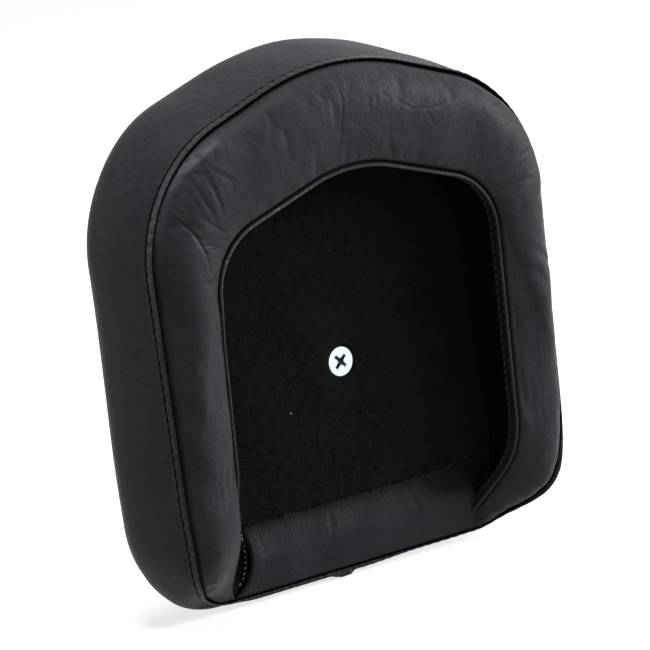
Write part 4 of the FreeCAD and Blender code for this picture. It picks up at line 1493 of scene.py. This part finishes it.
@dataclass
class PocketLining:
    """The cloth that lines the channel from under the rim down to the baseboard."""

    palette: Palette
    path: RimPath
    wall_inset: float = 8.6
    roof_inset: float = 9.0
    under_gap: float = 3.6

    def build(self) -> None:
        """A closed skin: up the wall at a fixed inset from the seam, in under the rim and out along the board."""
        p = self.path
        floor = SHAPE.board_rear_y
        keep = p.seam_y > floor + 7.0
        seam, mouth = p.seam[keep], p.mouth[keep]
        seam_y, mouth_y, width = p.seam_y[keep], p.mouth_y[keep], p.width[keep]
        across = (mouth - seam) / width[:, None]
        wall = np.minimum(self.wall_inset, 0.5 * width) + 0.5 * soft_noise(seam[:, 0], seam[:, 1], 24.0, 21)
        roof = np.maximum(width - self.roof_inset, wall + 2.0)

        def under(a: Array) -> Array:
            """Depth under the rim at distances across it from the seam."""
            return seam_y + (mouth_y - seam_y) * a / width - self.under_gap

        tuck = np.where(mouth[:, 1] > -40.0, 7.0, -5.0)
        tuck = np.convolve(np.pad(tuck, 40, mode="edge"), np.ones(81) / 81.0, "valid")
        spots = [
            (width + tuck, floor + 0.05), (wall + 4.0, floor + 0.1), (wall + 1.2, floor + 0.6), (wall, floor + 3.0),
            (wall - 0.6, (floor + under(wall)) / 2), (wall, under(wall) - 3.5), (wall + 1.5, under(wall) - 0.8),
            (roof, under(roof) - 0.2), (roof, under(roof) + 0.8), (wall - 1.4, under(wall) + 0.6),
            (wall - 1.6, floor), (wall - 1.6, floor - 0.3), (width + tuck, floor - 0.3),
        ]
        rows = [SHAPE.stood(seam + across * a[:, None], np.broadcast_to(y, a.shape)) for a, y in spots]
        lining = tube_grid("pocket_cloth", np.stack(rows, 1), True)
        self.palette.present(lining, Finish.LINING, "lining", "pocket_lining", "skirt_foam")
        self.corner("corner_cloth_left", 1.0, Finish.LINING, "lining")
        self.corner("corner_cloth_right", -1.0, Finish.FLAP_VINYL, "vinyl")

    def corner(self, name: str, sign: float, finish: Finish, slot: str) -> None:
        """The lining's low end, glued to the board between the flap and the rim.

        Args:
            name: The piece's name.
            sign: 1 for the +X side and -1 for the -X side.
            finish: Its finish.
            slot: Its slot.
        """
        z = np.linspace(-40.0, -86.0, 40)
        share = np.linspace(0.0, 1.0, 24)
        near = FootFlap.edge_x(z, sign) - sign * 4.0
        right = MOUTH.line[:, 0] > 0.0
        mouth = np.interp(z, MOUTH.line[right, 1], MOUTH.line[right, 0])
        far = sign * (mouth + 6.0 * smooth_step((z + 90.0) / 20.0) + 0.5)
        x = near[:, None] + (far - near)[:, None] * share[None, :]
        zz = np.broadcast_to(z[:, None], x.shape)
        lifted = 2.6 * smooth_step((-54.0 - zz) / 16.0) * (1.0 - smooth_step((-78.0 - zz) / 8.0)) * (sign < 0.0)
        y = SHAPE.board_rear_y + 0.45 + 0.1 * soft_noise(x, zz, 12.0, 31) + lifted
        top = np.stack([x, y, zz], -1)
        under = np.stack([x, np.full_like(x, SHAPE.board_rear_y + 0.05), zz], -1)
        self.palette.present(sheet_block(name, top, under), finish, slot)


# The padded foot flap

@dataclass
class FootFlap:
    """The cover's lower part, over the padded foot and under the closing panel."""

    palette: Palette
    columns: int = 170
    rows: int = 90
    top_z: float = -46.5
    low_z: float = -86.2
    crest: float = 4.2
    stitched: Point = (-85.8, -59.5)
    creases: tuple[Crease, ...] = (
        Crease(((10.0, -60.0), (12.0, -70.0)), 0.16, 1.3),
        Crease(((-30.0, -62.0), (-33.0, -72.0)), 0.14, 1.3),
    )

    @staticmethod
    def edge_x(z: Array, sign: float) -> Array:
        """The flap's side edge: on the +X side straight, then spreading; on the -X side read from a table.

        Args:
            z: Heights in mm.
            sign: 1 for the +X edge and -1 for the -X edge.

        Returns:
            x at each height.
        """
        low = np.clip((-66.0 - z) / 19.0, 0.0, 1.15)
        if sign > 0:
            return 53.4 + 1.7 * low + 5.4 * low ** 5
        heights = (-90.0, -85.3, -82.2, -79.6, -69.8, -65.9, -60.0)
        return np.interp(z, heights, (-69.2, -68.5, -67.7, -67.1, -64.0, -63.3, -62.4))

    def build(self) -> None:
        """A sheet whose depth rises from the board to the padded crest and falls to the seam, closed underneath."""
        z = np.linspace(self.top_z, self.low_z, self.rows)
        foot = smooth_step((-55.0 - z) / 17.0)
        fall = smooth_step((-71.0 - z) / 17.0)
        y = SHAPE.board_rear_y + SHAPE.vinyl + self.crest * foot - 3.6 * fall
        right, left = self.edge_x(z, 1.0), self.edge_x(z, -1.0)
        share = np.linspace(0.0, 1.0, self.columns)
        share = 0.5 - 0.5 * np.cos(np.pi * share) * (0.35 * np.abs(np.cos(np.pi * share)) + 0.65)
        x = left[:, None] + (right - left)[:, None] * share[None, :]
        zz = np.broadcast_to(z[:, None], x.shape)
        edge = np.minimum(x - left[:, None], right[:, None] - x)
        roll = np.clip(1.0 - edge / 1.8, 0.0, 1.0) ** 2
        hem = 0.07 * bell(edge - 4.2, 0.9) - 0.06 * bell(edge - 6.4, 0.6)
        depth = y[:, None] - 2.3 * roll * foot[:, None] + hem + 0.16 * soft_noise(x, zz, 26.0, 14) * foot[:, None]
        depth = depth + creased_height(self.creases, x, zz)
        top = np.stack([x, depth, zz], -1)
        under = top.copy()
        under[..., 1] = np.maximum(SHAPE.board_rear_y + 0.02, depth - SHAPE.vinyl - 2.5 * foot[:, None])
        flap = sheet_block("foot_flap", top, under)
        # Painted shade on the side edges that roll down over the foot, along the low edge, and over the whole
        # underside.
        edge_shade = smooth_step((0.8 - edge) / 0.6) * foot[:, None]
        low_shade = smooth_step((self.low_z + 0.7 - zz) / 0.5)
        set_attribute(flap, "painted_shade", np.concatenate([np.maximum(edge_shade, low_shade).ravel(), np.ones(x.size)]))
        set_attribute(flap, "creased", np.full(2 * x.size, 0.25))
        self.palette.present(flap, Finish.FLAP_VINYL, "vinyl", "lower_flap", "foot_foam")
        self.stitch(z, y, foot)

    def stitch(self, z: Array, y: Array, foot: Array) -> None:
        """Pale bobbin threads and a folded binding along the +X edge, and dark threads along both hems.

        Args:
            z: Heights of the flap's rows in mm.
            y: Their depths.
            foot: From 0 on the board to 1 on the padded foot.
        """
        keep = (z > self.stitched[0]) & (z < self.stitched[1])
        z, y, foot = z[keep], y[keep], foot[keep]
        edge = self.edge_x(z, 1.0)
        aside = np.tile(np.array([0.75, 0.66, 0.0]), (len(z), 1))
        for name, length, pitch, radius, out in (
            ("bobbin_threads", 0.85, 4.4, 0.28, 1.1), ("bobbin_ticks", 0.8, 2.2, 0.23, 1.05),
        ):
            line = np.stack([edge + out, y - 2.4 * foot - 0.3, z], 1)
            threads = StitchRow(name, length, pitch, radius).build(line, aside)
            self.palette.present(threads, Finish.WHITE_THREAD, "vinyl")
        binding = np.stack([
            np.stack([edge - 0.3 + side, y - drop * foot - 0.2, z], 1)
            for side, drop in ((0.0, 1.9), (1.5, 2.5), (1.5, 3.1), (0.0, 3.1))
        ], 1)
        self.palette.present(tube_grid("flap_fold", binding, True), Finish.LINING, "vinyl")
        rearward = np.tile(np.array([0.0, 1.0, 0.0]), (len(z), 1))
        for sign, name in ((1.0, "flap_stitches_right"), (-1.0, "flap_stitches_left")):
            line = np.stack([self.edge_x(z, sign) - sign * 6.4, y - 0.05, z], 1)
            piece = StitchRow(name, 2.2, 3.2, 0.2, sink=0.05).build(line, rearward)
            self.palette.present(piece, Finish.BLACK_THREAD, "vinyl")


# The closing panel's carpet

@dataclass
class PanelCarpet:
    """The pile cloth on the closing panel, with loose fibres over its face and edge."""

    palette: Palette
    foot_z: float = -56.0
    foot_radius: float = 17.0
    clearance: float = 2.0
    hole: float = 6.35
    around: int = 420
    rings: int = 60
    face_fibres: int = 21600
    edge_fibres: int = 8400
    frayed_fibres: int = 1500
    fray_line: tuple[Point, ...] = (
        (-61.0, -50.4), (-55.0, -52.7), (-49.0, -54.8), (-42.9, -56.1), (41.6, -55.4), (50.9, -55.4), (58.0, -54.0),
    )

    def outline(self) -> Outline:
        """The panel's edge, set in from the mouth."""
        s = SHAPE
        c = self.clearance
        wide = s.mouth_half_width - c
        shoulder = s.mouth_apex_z - s.mouth_half_width * math.tan(math.radians(s.mouth_slope)) - c / 2.0
        apex = s.mouth_apex_z - c * 1.05
        return Outline([
            Corner(0.0, apex, s.mouth_crown_radius),
            Corner(wide, shoulder, s.mouth_shoulder_radius - c),
            Corner(wide, self.foot_z, self.foot_radius),
            Corner(-wide, self.foot_z, self.foot_radius),
            Corner(-wide, shoulder, s.mouth_shoulder_radius - c),
        ])

    def build(self) -> None:
        """A slab between the screw's hole and the outline, its edge rounded over, then the fibres."""
        line = self.outline()
        edge, outward = line.at(np.arange(self.around) * line.length / self.around)
        ring = edge / np.hypot(*edge.T)[:, None] * self.hole
        share = np.linspace(0.0, 1.0, self.rings) ** 0.9
        plane = ring[:, None] + (edge - outward * 1.6 - ring)[:, None] * share[None, :, None]
        x, z = plane[..., 0], plane[..., 1]
        y = -0.35 * bell(np.hypot(x, z) - self.hole, 1.4) + 0.10 * soft_noise(x, z, 5.0, 2)
        y = y + 0.12 * soft_noise(x, z, 30.0, 4) - 0.12
        rows = list(np.stack([x, y, z], -1).transpose(1, 0, 2))

        def row(flat: Array, depth: float) -> None:
            """Adds one ring at a depth."""
            rows.append(np.stack([flat[:, 0], np.full(self.around, -depth), flat[:, 1]], 1))

        for inset, depth in ((0.9, 0.15), (0.35, 0.6), (0.08, 1.3), (0.0, 2.4), (0.1, 5.0), (0.5, 6.95)):
            row(edge - outward * inset, depth)
        for scale, depth in ((0.6, 6.95), (0.2, 2.6), (0.0, 2.45)):
            row(ring + (edge - ring) * scale, depth)
        slab = tube_grid("closing_carpet", np.stack(rows, 0), False)
        self.palette.present(slab, Finish.PILE, "carpet", "carpet")
        rng = np.random.default_rng(7)
        self.grow(line, rng)
        self.frayed(rng)
        self.lint(rng)

    @staticmethod
    def crossing(up: Array, rng: np.random.Generator) -> Array:
        """Directions across blades, turned at random."""
        return unit(np.cross(up, rng.normal(0.0, 1.0, up.shape)))

    def grow(self, line: Outline, rng: np.random.Generator) -> None:
        """Fibres as bent blades of a quad and a tip, each leaning its own way: base, knee and tip.

        Args:
            line: The panel's outline.
            rng: The random source.
        """
        faces, edges = self.face_fibres, self.edge_fibres
        pick = rng.uniform(0.0, 1.0, faces) ** 0.5
        rim, _ = line.at(rng.uniform(0.0, line.length, faces))
        start = rim / np.hypot(*rim.T)[:, None] * (self.hole - 0.3)
        flat = start + (rim * 0.992 - start) * pick[:, None]
        face_base = np.stack([flat[:, 0], np.full(faces, -0.35), flat[:, 1]], 1)
        face_up = np.stack([rng.normal(0.0, 0.55, faces), np.ones(faces), rng.normal(-0.25, 0.55, faces)], 1)
        rim, out = line.at(rng.uniform(0.0, line.length, edges))
        down = rng.uniform(0.1, 3.6, edges)
        edge_base = np.stack([rim[:, 0] - out[:, 0] * 0.5, -down, rim[:, 1] - out[:, 1] * 0.5], 1)
        edge_up = np.stack([out[:, 0], np.clip(0.9 - down * 0.2, 0.0, 1.0), out[:, 1]], 1)
        edge_up = edge_up + rng.normal(0.0, 0.4, (edges, 3))
        base, up = np.vstack([face_base, edge_base]), unit(np.vstack([face_up, edge_up]))
        length = np.concatenate([rng.uniform(0.5, 1.1, faces), rng.uniform(0.6, 1.9, edges)])[:, None]
        bend = rng.normal(0.0, 0.35, base.shape) * length
        side = self.crossing(up, rng) * rng.uniform(0.10, 0.19, len(base))[:, None]
        knee, tip = base + up * length * 0.55, base + up * length + bend * 0.5
        verts = np.stack([base - side, base + side, knee + side * 0.7, knee - side * 0.7, tip], 1)
        offset = (np.arange(len(base)) * 5)[:, None]
        blades = list(np.array([[0, 1, 2, 3]]) + offset) + list(np.array([[3, 2, 4]]) + offset)
        self.palette.present(new_object("carpet_fibres", verts.reshape(-1, 3), blades), Finish.PILE, "carpet")

    def frayed(self, rng: np.random.Generator) -> None:
        """Paler fibres that stand off the panel's foot edge: blades that lean down and out.

        Args:
            rng: The random source.
        """
        count = self.frayed_fibres
        x = rng.uniform(-60.0, 58.0, count)
        low = np.interp(x, *np.array(self.fray_line).T)
        base = np.stack([x, rng.uniform(-1.6, 0.0, count), low + rng.uniform(-0.6, 0.4, count)], 1)
        up = np.stack([rng.normal(0.0, 0.6, count), rng.uniform(0.0, 1.1, count), rng.uniform(-1.0, -0.1, count)], 1)
        up = unit(up)
        side = self.crossing(up, rng)
        length = rng.uniform(0.6, 1.6, count)[:, None]
        side = side * rng.uniform(0.05, 0.09, count)[:, None]
        tip = base + up * length + rng.normal(0.0, 0.3, (count, 3)) * length
        verts = np.stack([base - side, base + side, tip], 1)
        piece = new_object("frayed_fibres", verts.reshape(-1, 3), list(np.arange(3 * count).reshape(-1, 3)))
        self.palette.present(piece, Finish.PALE_PILE, "carpet")

    def lint(self, rng: np.random.Generator) -> None:
        """The small pale speck caught in the pile.

        Args:
            rng: The random source.
        """
        turn = np.arange(8) * math.tau / 8
        rings = []
        for height, size in ((0.2, 0.2), (0.4, 0.32), (0.6, 0.28), (0.75, 0.08)):
            rough = size * (1.0 + 0.3 * rng.normal(0.0, 1.0, 8))
            x, z = 28.4 + rough * np.cos(turn), -15.4 + 1.2 * rough * np.sin(turn)
            rings.append(np.stack([x, np.full(8, height), z], 1))
        self.palette.present(tube_grid("lint_speck", np.stack(rings, 0), True), Finish.WHITE_THREAD, "carpet")


# What the CAD already has right

@dataclass
class Hardware:
    """Boards, screw, nut and staples keep their CAD shapes and get their finishes."""

    palette: Palette
    finishes: dict[str, Finish] = field(default_factory=lambda: {
        "baseboard": Finish.PLYWOOD,
        "carpet_board": Finish.HARDBOARD,
        "clamp_screw": Finish.SCREW,
        "tee_nut": Finish.ZINC,
        "staples": Finish.ZINC,
    })

    def build(self) -> None:
        """Assigns each node's finish."""
        for name, finish in self.finishes.items():
            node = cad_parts[name]
            for slot in node.material_slots:
                slot.material = self.palette.get(finish)
            LOG.info("%s keeps its shape in %s", name, finish.value.name)


# Camera, light and floor

@dataclass
class Studio:
    """The photograph's viewpoint, soft light and a pale floor."""

    eye: Triple = (1.180062, 1.630018, 0.412744)
    yaw: float = 35.77
    pitch: float = 11.16
    roll: float = -6.96
    lens: float = 279.97
    sensor: float = 36.0
    aim: Triple = (0.0, 0.0, 0.02)
    floor_reach: float = 6.0
    floor_gap: float = 0.0005
    floor_pale: float = 0.80
    floor_glow: float = 0.74
    floor_bounce: float = 0.42
    world_light: float = 0.05
    lamps: tuple[tuple[str, Triple, float, float], ...] = (
        ("right_box", (-1.55, 0.8, 0.45), 0.8, 33.0),
        ("top_box", (0.1, 0.3, 1.8), 0.8, 28.0),
        ("left_box", (1.2, -1.3, 0.25), 0.7, 2.4),
    )

    def camera(self) -> None:
        """Aims the camera by its yaw, pitch and roll."""
        yaw, pitch, roll = map(math.radians, (self.yaw, self.pitch, self.roll))
        back = Vector((math.sin(yaw) * math.cos(pitch), math.cos(yaw) * math.cos(pitch), math.sin(pitch)))
        right = Vector((0.0, 0.0, 1.0)).cross(back).normalized()
        up = back.cross(right)
        turned = right * math.cos(roll) + up * math.sin(roll)
        upright = up * math.cos(roll) - right * math.sin(roll)
        data = bpy.data.cameras.new("photo_camera")
        data.lens = self.lens
        data.sensor_width = self.sensor
        data.clip_end = 20.0
        camera = bpy.data.objects.new("photo_camera", data)
        axes = Matrix((turned, upright, back)).transposed().to_4x4()
        axes.translation = Vector(self.eye)
        camera.matrix_world = axes
        bpy.context.scene.collection.objects.link(camera)
        bpy.context.scene.camera = camera

    def lamp(self, name: str, place: Triple, size: float, power: float) -> None:
        """Adds a square soft box that faces the pad.

        Args:
            name: The lamp's name.
            place: Where it stands, in metres.
            size: Its side in metres.
            power: Its power in watts.
        """
        data = bpy.data.lights.new(name, "AREA")
        data.size = size
        data.energy = power
        lamp = bpy.data.objects.new(name, data)
        lamp.location = place
        lamp.rotation_euler = (Vector(place) - Vector(self.aim)).to_track_quat("Z", "Y").to_euler()
        bpy.context.scene.collection.objects.link(lamp)

    @staticmethod
    def seen_rays(shop: Workshop) -> Channel:
        """A factor that is 1 for camera, glossy and transmission rays: the largest of the three.

        Args:
            shop: The workshop of the tree to add to.

        Returns:
            The factor.
        """
        camera, glossy, through = (
            shop.node("ShaderNodeLightPath", {}, {}, f"Is {kind} Ray") for kind in ("Camera", "Glossy", "Transmission")
        )
        return shop.larger(shop.larger(camera, glossy), through)

    def backdrop_material(self) -> bpy.types.Material:
        """A pale surface for diffuse light, and the same with a little glow where it is seen, so that it is white."""
        shop = Workshop.material("pale_floor")
        plain = shop.principled(Base_Color=(self.floor_bounce,) * 3, Roughness=0.9, Specular_IOR_Level=0.1)
        glowing = shop.principled(
            Base_Color=(self.floor_pale,) * 3,
            Roughness=0.9,
            Specular_IOR_Level=0.1,
            Emission_Color=(1.0, 1.0, 1.0),
            Emission_Strength=self.floor_glow,
        )
        return shop.finish(shop.mixed(self.seen_rays(shop), plain, glowing))

    def floor(self) -> None:
        """Lays the floor just under the pad."""
        low = float(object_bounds()[0][2]) - self.floor_gap
        far = self.floor_reach
        mesh = bpy.data.meshes.new("studio_floor")
        mesh.from_pydata([(-far, -far, low), (far, -far, low), (far, far, low), (-far, far, low)], [], [(0, 1, 2, 3)])
        floor = bpy.data.objects.new("studio_floor", mesh)
        floor.data.materials.append(self.backdrop_material())
        bpy.context.scene.collection.objects.link(floor)
        floor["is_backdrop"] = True

    def world(self) -> None:
        """White to the camera and to gloss, softer grey to the object."""
        world = bpy.data.worlds.new("studio")
        bpy.context.scene.world = world
        shop = Workshop(world, "ShaderNodeOutputWorld")
        lit, seen = (
            shop.node("ShaderNodeBackground", {}, {0: (1.0, 1.0, 1.0), 1: strength})
            for strength in (self.world_light, 1.0)
        )
        shop.finish(shop.mixed(self.seen_rays(shop), lit, seen))

    def build(self) -> None:
        """Sets the studio up."""
        bpy.context.scene.view_settings.view_transform = "Standard"
        self.camera()
        self.floor()
        self.world()
        for lamp in self.lamps:
            self.lamp(*lamp)


def main() -> None:
    """Builds every piece, then the studio."""
    logging.basicConfig(level=logging.INFO, format="%(name)s: %(message)s")
    palette = Palette()
    path = RimPath(840)
    for maker in (
        CushionCover(palette), PaddedRim(palette, path), PocketLining(palette, path), FootFlap(palette),
        PanelCarpet(palette), Hardware(palette), Studio(),
    ):
        maker.build()


if __name__ == "__main__":
    main()
